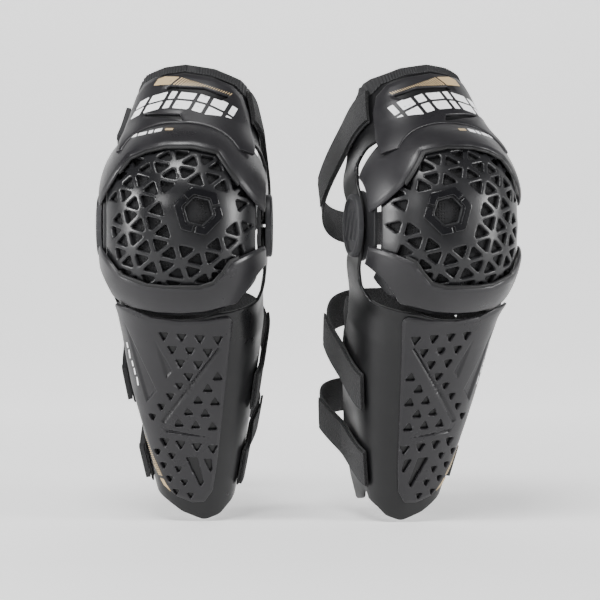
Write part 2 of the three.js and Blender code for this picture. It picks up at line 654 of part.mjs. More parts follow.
function guardPieces() {
  const pieces = [
    ['shin_base', shinBase(), 'base'],
    ['shin_shell', shinShell(), 'shell'],
    ['lower_band', lowerBand(), 'shell'],
    ['shin_liner', limbLiner(shin, [64, 240], allColumns), 'liner'],
    ['knee_cup', kneeCup(), 'cup'],
    ['knee_badge', kneeBadge(), 'cup'],
    ['knee_liner', kneeLiner(), 'liner'],
    ['upper_band', upperBand(), 'shell'],
    ['thigh_base', thighBase(), 'base'],
    ['thigh_shell', thighShell(), 'shell'],
    ['thigh_liner', limbLiner(cuff, [68, 106], frontColumns.slice(1, -1)), 'liner'],
    ['thigh_strap', strapSolid(straps.thigh), 'strap'],
    ['thigh_strap_tab', strapTab(straps.thigh), 'strap'],
    ['thigh_strap_hook', strapHook(straps.thigh), 'base'],
    ['upper_calf_strap', strapSolid(straps.upper), 'strap'],
    ['upper_calf_strap_tab', strapTab(straps.upper), 'strap'],
    ['upper_calf_strap_hook', strapHook(straps.upper), 'base'],
    ['lower_calf_strap', strapSolid(straps.lower), 'strap'],
    ['lower_calf_strap_tab', strapTab(straps.lower), 'strap'],
    ['lower_calf_strap_hook', strapHook(straps.lower), 'base'],
  ];
  for (const [name, side] of [['inner', 1], ['outer', -1]]) {
    pieces.push([`${name}_link`, linkPlate(side), 'base']);
    pieces.push([`${name}_hinge_cap`, hingeCap(side), 'base']);
    pieces.push([`${name}_upper_pin`, pivotPin(side, pivotHalf), 'pin']);
    pieces.push([`${name}_lower_pin`, pivotPin(side, -pivotHalf), 'pin']);
  }
  return pieces;
}

function mirroredGeometry(geometry) {
  const copy = geometry.clone();
  copy.scale(-1, 1, 1);
  const index = copy.index.array;
  for (let i = 0; i < index.length; i += 3) [index[i + 1], index[i + 2]] = [index[i + 2], index[i + 1]];
  return copy;
}

const group = new THREE.Group();
const guards = {
  left: new THREE.Group(),
  right: new THREE.Group(),
};
guards.left.position.x = leftGuardX;
guards.left.rotation.z = leftYaw * rad;
guards.right.position.x = leftGuardX + guardSpacing;
guards.right.rotation.z = rightYaw * rad;
group.add(guards.left, guards.right);
for (const [name, solid, finishName] of guardPieces()) {
  const geometry = geometryOf(solid);
  const shapes = { left: geometry, right: mirroredGeometry(geometry) };
  for (const side of ['left', 'right']) {
    const mesh = new THREE.Mesh(shapes[side], finishes[finishName]);
    mesh.name = `${side}_${name}`;
    guards[side].add(mesh);
  }
}

export default group;
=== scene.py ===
import math

import bpy
import numpy as np
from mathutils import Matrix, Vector


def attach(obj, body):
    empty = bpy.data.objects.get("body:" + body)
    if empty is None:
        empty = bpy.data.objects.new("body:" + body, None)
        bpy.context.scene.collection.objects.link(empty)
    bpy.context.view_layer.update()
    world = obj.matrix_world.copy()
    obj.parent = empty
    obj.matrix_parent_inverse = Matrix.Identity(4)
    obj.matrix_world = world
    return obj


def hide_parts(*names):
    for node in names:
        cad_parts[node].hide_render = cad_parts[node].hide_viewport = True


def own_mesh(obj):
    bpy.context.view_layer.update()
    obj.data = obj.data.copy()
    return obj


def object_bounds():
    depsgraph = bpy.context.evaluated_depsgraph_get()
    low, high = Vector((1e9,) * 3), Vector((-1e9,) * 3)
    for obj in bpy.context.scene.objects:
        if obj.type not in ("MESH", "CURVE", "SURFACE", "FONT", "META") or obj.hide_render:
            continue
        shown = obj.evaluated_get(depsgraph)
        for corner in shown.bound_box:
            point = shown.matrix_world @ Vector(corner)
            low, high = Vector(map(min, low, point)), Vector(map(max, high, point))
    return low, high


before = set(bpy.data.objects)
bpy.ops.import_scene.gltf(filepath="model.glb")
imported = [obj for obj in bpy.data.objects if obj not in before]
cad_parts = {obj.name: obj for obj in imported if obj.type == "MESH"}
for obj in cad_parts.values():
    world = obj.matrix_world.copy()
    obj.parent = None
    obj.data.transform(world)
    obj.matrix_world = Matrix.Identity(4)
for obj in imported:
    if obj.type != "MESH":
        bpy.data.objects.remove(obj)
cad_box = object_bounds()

# ---- Camera, floor and light ----
# A long lens stands level in front of the pair, a little above the middle of the guards' height.
# They stand as they are worn on a pale paper floor that sweeps up behind them, between soft boxes. The paper
# glows, dimly in front and fully behind, as painted light that whitens the backdrop.
frame_width = 0.57
distance = 1.9
aim = Vector((0.0, 0.0, -0.0705))
camera_data = bpy.data.cameras.new("camera")
camera_data.sensor_width = 36
camera_data.lens = 36 * distance / frame_width
camera = bpy.data.objects.new("camera", camera_data)
bpy.context.collection.objects.link(camera)
rise = math.radians(2)
camera.location = aim + Vector((0, -distance * math.cos(rise), distance * math.sin(rise)))
camera.rotation_euler = (aim - camera.location).to_track_quat("-Z", "Y").to_euler()
bpy.context.scene.camera = camera

floor_z = cad_box[0][2] - 0.001
bend = np.linspace(0, math.pi / 2, 25)
line = [(-5.0, floor_z)] + [(2.2 + math.sin(a), floor_z + 1 - math.cos(a)) for a in bend] + [(3.2, 5.0)]
spots = [(x, y, z) for y, z in line for x in (-6.0, 6.0)]
quads = [(2 * i, 2 * i + 1, 2 * i + 3, 2 * i + 2) for i in range(len(line) - 1)]
sweep_mesh = bpy.data.meshes.new("paper_floor")
sweep_mesh.from_pydata(spots, [], quads)
sweep_mesh.polygons.foreach_set("use_smooth", np.ones(len(quads), bool))
sweep = bpy.data.objects.new("paper_floor", sweep_mesh)
bpy.context.collection.objects.link(sweep)


def plain_material(name, settings):
    """A material whose shader sockets are set to the named values, with its node tree and its shader."""
    material = bpy.data.materials.new(name)
    material.use_nodes = True
    shader = material.node_tree.nodes["Principled BSDF"]
    for socket, value in settings.items():
        shader.inputs[socket].default_value = value
    return material, material.node_tree, shader


def spread(tree, value, low_in, high_in, low_out=0, high_out=1):
    """The value mapped in a straight line from one span to another, and held at both ends."""
    node = tree.nodes.new("ShaderNodeMapRange")
    names = ("From Min", "From Max", "To Min", "To Max")
    for socket, number in zip(names, (low_in, high_in, low_out, high_out)):
        node.inputs[socket].default_value = number
    tree.links.new(value, node.inputs["Value"])
    return node.outputs["Result"]


paper, paper_tree, paper_shader = plain_material("pale_glowing_paper", {
    "Base Color": (0.85, 0.85, 0.85, 1), "Roughness": 0.9, "Emission Color": (1, 1, 1, 1)})
paper_place = paper_tree.nodes.new("ShaderNodeSeparateXYZ")
coordinates = paper_tree.nodes.new("ShaderNodeTexCoord")
paper_tree.links.new(coordinates.outputs["Object"], paper_place.inputs["Vector"])
# Painted light: the paper glows, from 0.12 in front of the guards to 1.0 behind them, so the backdrop reads
# white.
glow = spread(paper_tree, paper_place.outputs["Y"], -0.2, 1.2, 0.12, 1.0)
paper_tree.links.new(glow, paper_shader.inputs["Emission Strength"])
sweep_mesh.materials.append(paper)

world = bpy.data.worlds.new("studio")
bpy.context.scene.world = world
world.use_nodes = True
world.node_tree.nodes["Background"].inputs["Color"].default_value = (1, 1, 1, 1)
world.node_tree.nodes["Background"].inputs["Strength"].default_value = 0.16


def soft_light(name, place, size, power):
    """A square soft box of that size at that place, turned towards the knees."""
    data = bpy.data.lights.new(name, "AREA")
    data.size = size
    data.energy = power
    lamp = bpy.data.objects.new(name, data)
    bpy.context.collection.objects.link(lamp)
    lamp.location = place
    lamp.rotation_euler = (aim - lamp.location).to_track_quat("-Z", "Y").to_euler()


soft_light("left_box", Vector((-1.5, -0.55, 0.25)), 0.5, 30)
soft_light("right_box", Vector((1.5, -0.5, 0.2)), 0.5, 26)
soft_light("top_box", Vector((-0.2, -1.0, 1.5)), 0.6, 34)
soft_light("front_box", Vector((-0.9, -1.9, 0.5)), 0.5, 10)

# ---- Shin and thigh plastic bases ----
# The base of each limb is one injection-moulded black channel, about 3 mm thick, with an arm at each
# side of the knee. Everything else is riveted or hooked on it. All sizes here are millimetres.
SIDES = ("left", "right")
guard_centre = {"left": (-109.0, math.radians(-2), 1), "right": (124.0, math.radians(21), -1)}


def placed(points, side):
    """Points of one guard, in millimetres with +X towards the other leg, put where it stands, in metres."""
    centre, yaw, hand = guard_centre[side]
    x, y, z = hand * points[:, 0], points[:, 1], points[:, 2]
    across = centre + x * math.cos(yaw) - y * math.sin(yaw)
    return np.stack([across, x * math.sin(yaw) + y * math.cos(yaw), z], 1) / 1000


def signed_power(value, exponent):
    """The value's size raised to the exponent, with the value's sign."""
    return np.sign(value) * np.abs(value) ** exponent


PIVOT = 13.5
LIMB_ROUND, CUP_ROUND = 2.7, 2.3
CUP_DEPTH, CUP_WIDTH = 84, 77
ARM_FLAT, ARM_BLEND, ARM_SKIN = 22.0, 62.0, 80.2
cuff = dict(pivot=PIVOT, tilt=math.radians(32), up=1, length=150.0)
shin = dict(pivot=-PIVOT, tilt=math.radians(23), up=-1, length=290.0)


def limb_size(limb, s):
    """Half width, sideways drift and forward reach of a limb's skin at the distance s along it.

    The width narrows from the knee to the far end, and flares out to the arms near the pivots.
    """
    if limb is cuff:
        width = 77 - 27 * np.clip((np.maximum(s, ARM_FLAT) - 30) / 120, 0, 1.1)
        reach = 80.5 - 0.1 * s
    else:
        width = 72 - 33 * np.clip((s - 60) / 200, 0, 1.2) ** 1.3
        reach = 78 + 0 * s
    blend = np.clip((s - ARM_FLAT) / (ARM_BLEND - ARM_FLAT), 0, 1)
    flare = 1 - blend * blend * (3 - 2 * blend)
    width = width * (1 - flare) + ARM_SKIN * flare
    depth = 1.05 * width * (1 - flare) + (reach - ARM_FLAT) * flare
    return width, 6 * np.clip((s - 20) / 60, 0, 1), reach, depth


def on_limb(limb, x, f, s):
    """A point f forward of a limb's leaning axis and s along it from its pivot."""
    c, d = math.cos(limb["tilt"]), math.sin(limb["tilt"])
    return np.stack([x + 0 * f, -c * f + d * s, limb["pivot"] + limb["up"] * (d * f + c * s)], -1)


def limb_section(limb, u, s, offset, side_end=-22.0):
    """x and f of a limb's skin: a superellipse front to 90 degrees of u, then a straight side up to 91."""
    width, drift, reach, depth = limb_size(limb, s)
    turn = np.radians(np.clip(u, -90, 90))
    x = (width + offset) * signed_power(np.sin(turn), 2 / LIMB_ROUND) + drift
    f = reach - depth + (depth + offset) * signed_power(np.maximum(np.cos(turn), 0), 2 / LIMB_ROUND)
    back = np.clip(np.abs(u) - 90, 0, 1)
    return x, f * (1 - back) + side_end * back


def limb_surface(limb):
    """The skin of a limb as a function of u, s and an outward offset."""
    return lambda u, s, offset: on_limb(limb, *limb_section(limb, u, s, offset), s)


def polygon_field(points, outline):
    """Signed distance from points to a closed outline, positive inside: the least distance to its edges."""
    outline = np.asarray(outline, float)
    a, b = outline, np.roll(outline, -1, axis=0)
    best = np.full(len(points), 1e9)
    inside = np.zeros(len(points), bool)
    for p, q in zip(a, b):
        edge = q - p
        rel = points - p
        t = np.clip(rel @ edge / (edge @ edge), 0, 1)
        best = np.minimum(best, np.hypot(*(rel - t[:, None] * edge).T))
        crosses = (p[1] > points[:, 1]) != (q[1] > points[:, 1])
        with np.errstate(divide="ignore", invalid="ignore"):
            at = p[0] + (points[:, 1] - p[1]) * edge[0] / (edge[1] if edge[1] else 1e-9)
        inside ^= crosses & (points[:, 0] < at)
    return np.where(inside, best, -best)


def rounded(points, outline, radius):
    """The field of an outline whose corners are rounded: the outline drawn in by the radius, then let out."""
    field = polygon_field(points, outline) - radius
    return np.where(field > 0, field + radius, corner_field(points, outline, radius))


def corner_field(points, outline, radius):
    """Distance outside the drawn-in outline, measured round its corners."""
    drawn = []
    pts = np.asarray(outline, float)
    for i in range(len(pts)):
        a, b, c = pts[i - 1], pts[i], pts[(i + 1) % len(pts)]
        e1, e2 = (b - a) / np.linalg.norm(b - a), (c - b) / np.linalg.norm(c - b)
        area = np.sum(pts[:, 0] * np.roll(pts[:, 1], -1) - np.roll(pts[:, 0], -1) * pts[:, 1])
        hand = 1 if area > 0 else -1
        n1, n2 = hand * np.array([-e1[1], e1[0]]), hand * np.array([-e2[1], e2[0]])
        mid = n1 + n2
        drawn.append(b + radius * mid / max(mid @ n1, 0.35))
    return polygon_field(points, drawn) + radius


def split(params, values, faces, level, keep_low):
    """Cuts triangles along a level of a field, which is taken as straight between two corners."""
    w = values - level
    above = w >= 0
    count = above[faces].sum(1)
    odd = np.where(count == 1, np.argmax(above[faces], 1), np.argmin(above[faces], 1))
    mixed = (count == 1) | (count == 2)
    rows = faces[mixed]
    o = odd[mixed]
    idx = np.arange(len(rows))
    a, b, c = rows[idx, o], rows[idx, (o + 1) % 3], rows[idx, (o + 2) % 3]
    pairs = np.sort(np.concatenate([np.stack([a, b], 1), np.stack([a, c], 1)]), axis=1)
    unique, inverse = np.unique(pairs, axis=0, return_inverse=True)
    inverse = inverse.ravel()
    wa, wb = w[unique[:, 0]], w[unique[:, 1]]
    t = (wa / (wa - wb))[:, None] if len(unique) else np.zeros((0, 1))
    new = params[unique[:, 0]] * (1 - t) + params[unique[:, 1]] * t
    p = len(params) + inverse[:len(rows)]
    q = len(params) + inverse[len(rows):]
    one = count[mixed] == 1
    tip = np.stack([a, p, q], 1)
    rest = np.concatenate([np.stack([p, b, c], 1), np.stack([p, c, q], 1)])
    twice = np.concatenate([one, one])
    kept = [faces[count == 3], tip[one], rest[~twice]]
    if keep_low:
        kept += [faces[count == 0], tip[~one], rest[twice]]
    values = np.concatenate([values, np.full(len(new), level)])
    return np.concatenate([params, new]), values, np.concatenate(kept)


def grid_faces(n, m):
    """Triangles of a grid of n by m points, two for each cell."""
    k = np.arange((n - 1) * m).reshape(n - 1, m)[:, :-1].ravel()
    return np.concatenate([np.stack([k, k + m, k + m + 1], 1), np.stack([k, k + m + 1, k + 1], 1)])


def walled(top, bottom, faces):
    """A closed body between two sheets with the same faces, walled along their free edges."""
    sides = np.concatenate([faces[:, [0, 1]], faces[:, [1, 2]], faces[:, [2, 0]]])
    _, first, counts = np.unique(np.sort(sides, axis=1), axis=0, return_index=True, return_counts=True)
    rim, lift = sides[first[counts == 1]], len(top)
    walls = np.concatenate([np.stack([rim[:, 1], rim[:, 0], rim[:, 0] + lift], 1),
                            np.stack([rim[:, 1], rim[:, 0] + lift, rim[:, 1] + lift], 1)])
    points = np.concatenate([top, bottom])
    faces = np.concatenate([faces, faces[:, ::-1] + lift, walls])
    a, b, c = (points[faces[:, i]] for i in range(3))
    volume = np.einsum("ij,ij->i", a, np.cross(b, c)).sum()
    return points, faces[:, ::-1] if volume < 0 else faces


def sheet_mesh(surface, us, vs, field, inner, outer, edge=1.0, relief=None):
    """A moulded wall between two offsets of a surface, cut where the field of its outer points is negative.

    The outer face rounds off over the last stretch before each cut edge, as a quarter circle, and sinks
    by the relief, if there is one.
    """
    u, v = np.meshgrid(us, vs, indexing="ij")
    params = np.stack([u.ravel(), v.ravel()], 1)
    faces = grid_faces(len(us), len(vs))
    values = field(surface(params[:, 0], params[:, 1], outer))
    border = (u == us[0]) | (u == us[-1]) | (v == vs[0]) | (v == vs[-1])
    values = np.where(border.ravel(), np.minimum(values, edge * 0.2), values)
    for level in (edge, edge * 0.35):
        params, values, faces = split(params, values, faces, level, True)
    params, values, faces = split(params, values, faces, 0.0, False)
    used, faces = np.unique(faces, return_inverse=True)
    faces = faces.reshape(-1, 3)
    params, values = params[used], values[used]
    near = np.clip(values, 0, edge)
    drop = edge - np.sqrt(np.maximum(edge ** 2 - (edge - near) ** 2, 0))
    if relief:
        drop = drop + relief(surface(params[:, 0], params[:, 1], np.full(len(params), float(outer))))
    top = surface(params[:, 0], params[:, 1], outer - drop)
    bottom = surface(params[:, 0], params[:, 1], np.full(len(params), float(inner)))
    return walled(top, bottom, faces)


def make_piece(name, side, points, faces, finish, body, *nodes, smooth=50):
    """A mesh piece of one guard, riding on a body in place of its CAD nodes.

    A finish is a material and the name of its slot; the slot's name is not used.
    """
    material, slot = finish
    mesh = bpy.data.meshes.new(f"{side}_{name}")
    spots = placed(points, side)
    loops = faces[:, ::-1] if guard_centre[side][2] < 0 else faces
    mesh.from_pydata(spots.tolist(), [], loops.tolist())
    mesh.polygons.foreach_set("use_smooth", np.ones(len(mesh.polygons), bool))
    mesh.set_sharp_from_angle(angle=math.radians(smooth))
    mesh.materials.append(material)
    piece = bpy.data.objects.new(f"{side}_{name}", mesh)
    bpy.context.collection.objects.link(piece)
    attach(piece, f"{side}_{body}")
    if nodes:
        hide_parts(*(f"{side}_{node}" for node in nodes))
    return piece


def spaced(low_end, high_end, step):
    """Even values between two ends, no further apart than the step."""
    return np.linspace(low_end, high_end, int(math.ceil((high_end - low_end) / step)) + 1)


def pattern(tree, kind, output, **settings):
    """One output of a procedural texture of that kind, laid in object space."""
    node = tree.nodes.new(f"ShaderNodeTex{kind}")
    for socket, number in settings.items():
        node.inputs[socket].default_value = number
    tree.links.new(tree.nodes.new("ShaderNodeTexCoord").outputs["Object"], node.inputs["Vector"])
    return node.outputs[output]


def blended(tree, low, high, factor):
    """A colour that goes from low to high with the factor; low may be another blend."""
    mix = tree.nodes.new("ShaderNodeMix")
    mix.data_type = "RGBA"
    if isinstance(low, bpy.types.NodeSocket):
        tree.links.new(low, mix.inputs["A"])
    else:
        mix.inputs["A"].default_value = (*low, 1)
    mix.inputs["B"].default_value = (*high, 1)
    tree.links.new(factor, mix.inputs["Factor"])
    return mix.outputs["Result"]


def bumped(tree, shader, height, strength, depth):
    """Raises the shader's surface by a height, with a strength and a depth in metres."""
    bump = tree.nodes.new("ShaderNodeBump")
    bump.inputs["Strength"].default_value = strength
    bump.inputs["Distance"].default_value = depth
    tree.links.new(height, bump.inputs["Height"])
    tree.links.new(bump.outputs["Normal"], shader.inputs["Normal"])


def moulded(name, slot, colour, roughness, grain=0.12, mottle=0.5, wear=0.5):
    """Moulded plastic: fine pebble grain, cloudy handling marks in the gloss, and paler rubbed edges."""
    material, tree, shader = plain_material(name, {"Specular IOR Level": 0.36})
    clouds = pattern(tree, "Noise", "Fac", Scale=22, Detail=5, Roughness=0.55)
    gloss = spread(tree, clouds, 0.35, 0.65, roughness - 0.13 * mottle, roughness + 0.2 * mottle)
    tree.links.new(gloss, shader.inputs["Roughness"])
    rubbed = spread(tree, tree.nodes.new("ShaderNodeNewGeometry").outputs["Pointiness"], 0.53, 0.62, 0, wear)
    shade = blended(tree, colour, [min(1, 2.6 * c + 0.03) for c in colour], rubbed)
    marks = pattern(tree, "Noise", "Fac", Scale=9, Detail=6, Roughness=0.7)
    marks = spread(tree, marks, 0.42, 0.72, 0, 0.7 * mottle)
    tint = blended(tree, shade, [1.7 * c + 0.004 for c in colour], marks)
    tree.links.new(tint, shader.inputs["Base Color"])
    pebbles = pattern(tree, "Noise", "Fac", Scale=1600, Detail=2, Roughness=0.55)
    bumped(tree, shader, pebbles, grain, 0.0004)
    return material, slot


base_finish = moulded("black_base_plastic", "base_plastic", (0.0035, 0.0035, 0.004), 0.34,
                      mottle=0.6, wear=0.25)
front_edge = [[95, 44], [40, 44], [24, 36], [14, 20], [13.5, 8]]
arm_end = [[12.5 * math.cos(a), -12.5 * math.sin(a)] for a in np.linspace(0, math.pi, 13)]
base_backs = {
    "thigh": [[-13.5, 8], [-16, 20], [-14, 50], [5, 85], [27, 112], [45, 132], [60, 146], [95, 150]],
    "shin": [[-13.5, 8], [-15, 22], [-8, 50], [0, 75], [-6, 110], [-10, 160], [-10, 215], [4, 250], [30, 286],
             [95, 289]],
}
base_fronts = {
    "thigh": [[-130, -80], [-130, 90], [-62, 108], [-53, 128], [-40, 144.5], [-20, 151.5], [0, 154],
              [28, 149.5], [52.6, 139.6], [66, 125], [74, 110], [130, 90], [130, -80]],
    "shin": [[-130, 80], [130, 80], [130, -232], [47, -246], [42, -266], [30, -280], [14.8, -285.6],
             [-6, -277], [-31, -259], [-44, -228], [-130, -208]],
}


def side_view(limb, points):
    """f and s of points, seen from the side of a limb."""
    c, d = math.cos(limb["tilt"]), math.sin(limb["tilt"])
    y, rise_up = points[:, 1], limb["up"] * (points[:, 2] - limb["pivot"])
    return np.stack([-c * y + d * rise_up, d * y + c * rise_up], 1)


def cup_reach(x, offset):
    """Reach of the knee cup's swept form from a pivot's axis at the half width x, grown by the offset."""
    share = np.clip(np.abs(x) / (CUP_WIDTH + offset), 0, 1)
    return (CUP_DEPTH + offset) * (1 - share ** CUP_ROUND) ** (1 / CUP_ROUND)


def clear_of_cup(limb, points, offset):
    """Distance outside the form that the cup sweeps about a limb's pivot, in front of the hinge axis."""
    away = np.hypot(points[:, 1], points[:, 2] - limb["pivot"]) - cup_reach(points[:, 0], offset)
    return np.where(points[:, 1] < -6, away, np.maximum(away, points[:, 1] + 6))


base_skin = (-6.4, -3.4)
for part, limb in (("thigh", cuff), ("shin", shin)):
    def base_field(points):
        """Inside the side outline and the front outline, and clear of the cup."""
        field = rounded(side_view(limb, points), base_backs[part] + front_edge + arm_end, 3)
        field = np.minimum(field, rounded(points[:, [0, 2]], base_fronts[part], 12))
        return np.minimum(field, np.where(np.abs(points[:, 0]) < 71, clear_of_cup(limb, points, 5.5), 99))

    columns = np.concatenate([spaced(-91, -90, 0.05), spaced(-90, 90, 1.6)[1:-1], spaced(90, 91, 0.05)])
    rows = spaced(-13.4, limb["length"], 2.2)
    points, faces = sheet_mesh(limb_surface(limb), columns, rows, base_field, *base_skin, edge=1.1)
    for side in SIDES:
        make_piece(f"{part}_channel", side, points, faces, base_finish, part, f"{part}_base")


# ---- Knee cup ----
# The cup is a 4 mm shell of tough satin nylon, opened out by triangular holes between crossing ribs.
# It is screwed to the link plates at both sides, where it stays solid.
def knee_section(t, offset):
    """Half width and reach of a superellipse at the turn t, in degrees, grown by the offset."""
    turn = np.radians(t)
    x = (CUP_WIDTH + offset) * signed_power(np.sin(turn), 2 / CUP_ROUND)
    return x, (CUP_DEPTH + offset) * signed_power(np.maximum(np.cos(turn), 0), 2 / CUP_ROUND)


def cup_surface(t, v, offset):
    """The cup's skin: turned about the lower pivot below it, the upper one above it, and straight between."""
    x, r = knee_section(t, offset)
    turn = np.radians(np.sign(v) * np.maximum(np.abs(v) - 1, 0))
    return np.stack([x, -r * np.cos(turn), np.clip(v, -1, 1) * PIVOT + r * np.sin(turn)], -1)


def with_holes(points, field, outlines, radius):
    """The field less each rounded outline drawn from the front, measured only at the points near it."""
    flat = points[:, [0, 2]]
    for outline in outlines:
        outline = np.asarray(outline, float)
        middle = outline.mean(0)
        far = np.hypot(*(outline - middle).T).max() + 6
        near = np.hypot(*(flat - middle).T) < far
        field[near] = np.minimum(field[near], -rounded(flat[near], outline, radius))
    return field


def inset(outline, width):
    """A triangle whose sides are moved in by the width."""
    outline = np.asarray(outline, float)
    middle = outline.mean(0)
    sides = np.hypot(*(outline - np.roll(outline, 1, 0)).T)
    area = 0.5 * abs(np.cross(outline[1] - outline[0], outline[2] - outline[0]))
    inradius = 2 * area / sides.sum()
    return middle + (outline - middle) * max(1 - width / inradius, 0.05)


badge_middle = np.array([20.0, 13.0])
lattice_a, lattice_b = np.array([24.2, -6.0]), np.array([5.9, -20.2])
lattice_start = np.array([-8.2, 5.5])
rib_width = 4.4


def on_cup_front(p):
    """A lattice point bent round the cup, so that the cells close up towards its edges."""
    return np.array([92 * math.sin(p[0] / 92), 104 * math.sin(p[1] / 104)])


cup_holes = []
for i in range(-5, 6):
    for j in range(-5, 6):
        corner = lattice_start + i * lattice_a + j * lattice_b
        for cell in ((corner, corner + lattice_a, corner + lattice_b),
                     (corner + lattice_a, corner + lattice_b, corner + lattice_a + lattice_b)):
            cell = np.array([on_cup_front(p) for p in cell])
            middle = cell.mean(0)
            if abs(middle[0]) < 62 and -66 < middle[1] < 74 and np.hypot(*(middle - badge_middle)) > 27:
                cup_holes.append(inset(cell, rib_width / 2))


def hexagon(reach, turn=-14):
    """A six-sided outline about the middle of the badge."""
    angles = np.radians(turn + 60 * np.arange(6))
    return badge_middle + reach * np.stack([np.cos(angles), np.sin(angles)], 1)


cup_finish = moulded("satin_cup_nylon", "cup_plastic", (0.008, 0.008, 0.009), 0.3,
                     grain=0.1, mottle=0.5, wear=0.4)


def cup_field(points):
    """Between the two trimmed ends, outside every hole of the lattice and outside the badge's window."""
    return with_holes(points, 70 - np.abs(points[:, 0]), cup_holes + [hexagon(13)], 1.3)


cup_skin = (-4, 0)
cup_columns = spaced(-80, 80, 1.25)
cup_rows = np.concatenate([spaced(-57, -1, 1.1)[:-1], spaced(-1, 1, 0.1), spaced(1, 61, 1.1)[1:]])
points, faces = sheet_mesh(cup_surface, cup_columns, cup_rows, cup_field, *cup_skin, edge=1.3)
for side in SIDES:
    make_piece("perforated_cup", side, points, faces, cup_finish, "knee", "knee_cup")

# ---- Knee badge ----
# A raised six-sided frame stands on the cup, towards the other leg. It is moulded in gloss black.
badge_finish = moulded("gloss_badge_plastic", "cup_plastic", (0.004, 0.004, 0.005), 0.2,
                       grain=0.03, mottle=0.3, wear=0.3)


def badge_field(points):
    """Between an outer hexagon and an inner one, with a narrow slit in every second side."""
    flat = points[:, [0, 2]]
    ring = np.minimum(rounded(flat, hexagon(23.5), 3), -rounded(flat, hexagon(15.5), 2))
    x, z = (flat - badge_middle).T
    angle = (np.degrees(np.arctan2(z, x)) + 14 + 30) % 120
    away = np.hypot(*(flat - badge_middle).T) * np.abs(np.radians(angle - 60))
    return np.minimum(ring, away - 0.9)


badge_skin = (-0.4, 2.0)
badge_rows = np.concatenate([spaced(-14, -1, 0.6)[:-1], spaced(-1, 1, 0.05), spaced(1, 28, 0.6)[1:]])
points, faces = sheet_mesh(cup_surface, spaced(-20, 50, 0.6), badge_rows, badge_field, *badge_skin, edge=1.0)
for side in SIDES:
    make_piece("badge_frame", side, points, faces, badge_finish, "knee", "knee_badge")

# ---- Bands round the cup ----
# Two satin grey bands frame the cup, one riveted to the cuff and one to the shin. Each slides over the
# cup as the knee bends, and has a soft black lip along its inner edge.
shell_finish = moulded("satin_grey_shell", "shell_plastic", (0.0115, 0.011, 0.0125), 0.34,
                       grain=0.16, mottle=0.6, wear=0.55)
opening = [[-96, 18], [-79.5, 18], [-59, 48], [-46, 64], [-30, 70.5], [-12, 74], [14, 74], [37, 68.6],
           [47, 54], [58, 37.6], [80.6, 10], [96, 10], [96, -18.8], [79, -18.8], [49.8, -33.8], [43, -44],
           [33.6, -54],
           [20, -58], [-12, -58], [-30, -56], [-54.5, -47], [-63.4, -35.7], [-81, -16.5], [-96, -16.5]]
band_bottom = [[-96, -10], [-79, -40], [-65, -66.4], [-47, -76], [-20, -80.4], [0.5, -81.4], [24, -79.6],
               [52.6, -72.4], [76, -40], [96, -10], [96, 40], [-96, 40]]


def swept_surface(limb):
    """The cup's skin as it turns about a limb's pivot, from the side and sweep turns and the offset."""
    def surface(t, turn, offset):
        x, r = knee_section(t, offset)
        a = np.radians(turn)
        return np.stack([x, -r * np.cos(a), limb["pivot"] + r * np.sin(a)], -1)
    return surface


def base_room(limb, points, grown):
    """Depth of points inside a limb's skin, where its base lies."""
    x = points[:, 0]
    f, s = side_view(limb, points).T
    width, drift, reach, depth = limb_size(limb, s)
    share = (np.abs(x - drift) / (width + grown)) ** LIMB_ROUND
    share = share + (np.maximum(f - reach + depth, 0) / (depth + grown)) ** LIMB_ROUND
    skin = (1 - share ** (1 / LIMB_ROUND)) * depth
    back_edge = [[a + 0.6, b - 0.6] for a, b in front_edge]
    outline = [[-60, -30], [-60, 130], [95, 130]] + back_edge + [[14.6, -30]]
    return np.minimum(skin, polygon_field(np.stack([f, s], 1), outline))


def band_field(limb, points, lip):
    """Outside the opening, clear of the hinge cap and the base; a lip runs inside the opening's edge."""
    flat = points[:, [0, 2]]
    inside = rounded(flat, opening, 5)
    if lip:
        field = np.minimum(np.minimum(2.8 - inside, inside + 0.4), 56 - np.abs(points[:, 0]))
    else:
        field = -inside
    eye = np.hypot(points[:, 1], points[:, 2] - limb["pivot"]) - 27
    field = np.minimum(field, np.where(np.abs(points[:, 0]) > 70, eye, 99))
    field = np.minimum(field, 79 - np.abs(points[:, 0]))
    if limb is shin:
        field = np.minimum(field, rounded(flat, band_bottom, 8))
    return np.minimum(field, -base_room(limb, points, -3.0))


def band_relief(points):
    """A shallow bevel that falls off towards the opening, as a chamfer along the inner edge."""
    inside = -rounded(points[:, [0, 2]], opening, 5)
    return 1.1 * np.clip(1 - inside / 3.2, 0, 1)


lip_finish = moulded("soft_black_lip", "base_plastic", (0.005, 0.005, 0.0055), 0.5,
                     grain=0.05, mottle=0.2, wear=0.15)
band_skin, lip_skin = (2.5, 5.5), (2.3, 4.3)
for name, limb, turns in (("upper", cuff, spaced(-10, 72, 0.9)), ("lower", shin, spaced(-60, 10, 0.9))):
    body = "thigh" if limb is cuff else "shin"
    columns = spaced(-82, 82, 0.9)
    points, faces = sheet_mesh(swept_surface(limb), columns, turns, lambda p: band_field(limb, p, False),
                               *band_skin, edge=1.0, relief=band_relief)
    lip_points, lip_faces = sheet_mesh(swept_surface(limb), columns, turns,
                                       lambda p: band_field(limb, p, True), *lip_skin, edge=0.8)
    for side in SIDES:
        make_piece(f"{name}_frame_band", side, points, faces, shell_finish, body, f"{name}_band")
        make_piece(f"{name}_band_lip", side, lip_points, lip_faces, lip_finish, body)

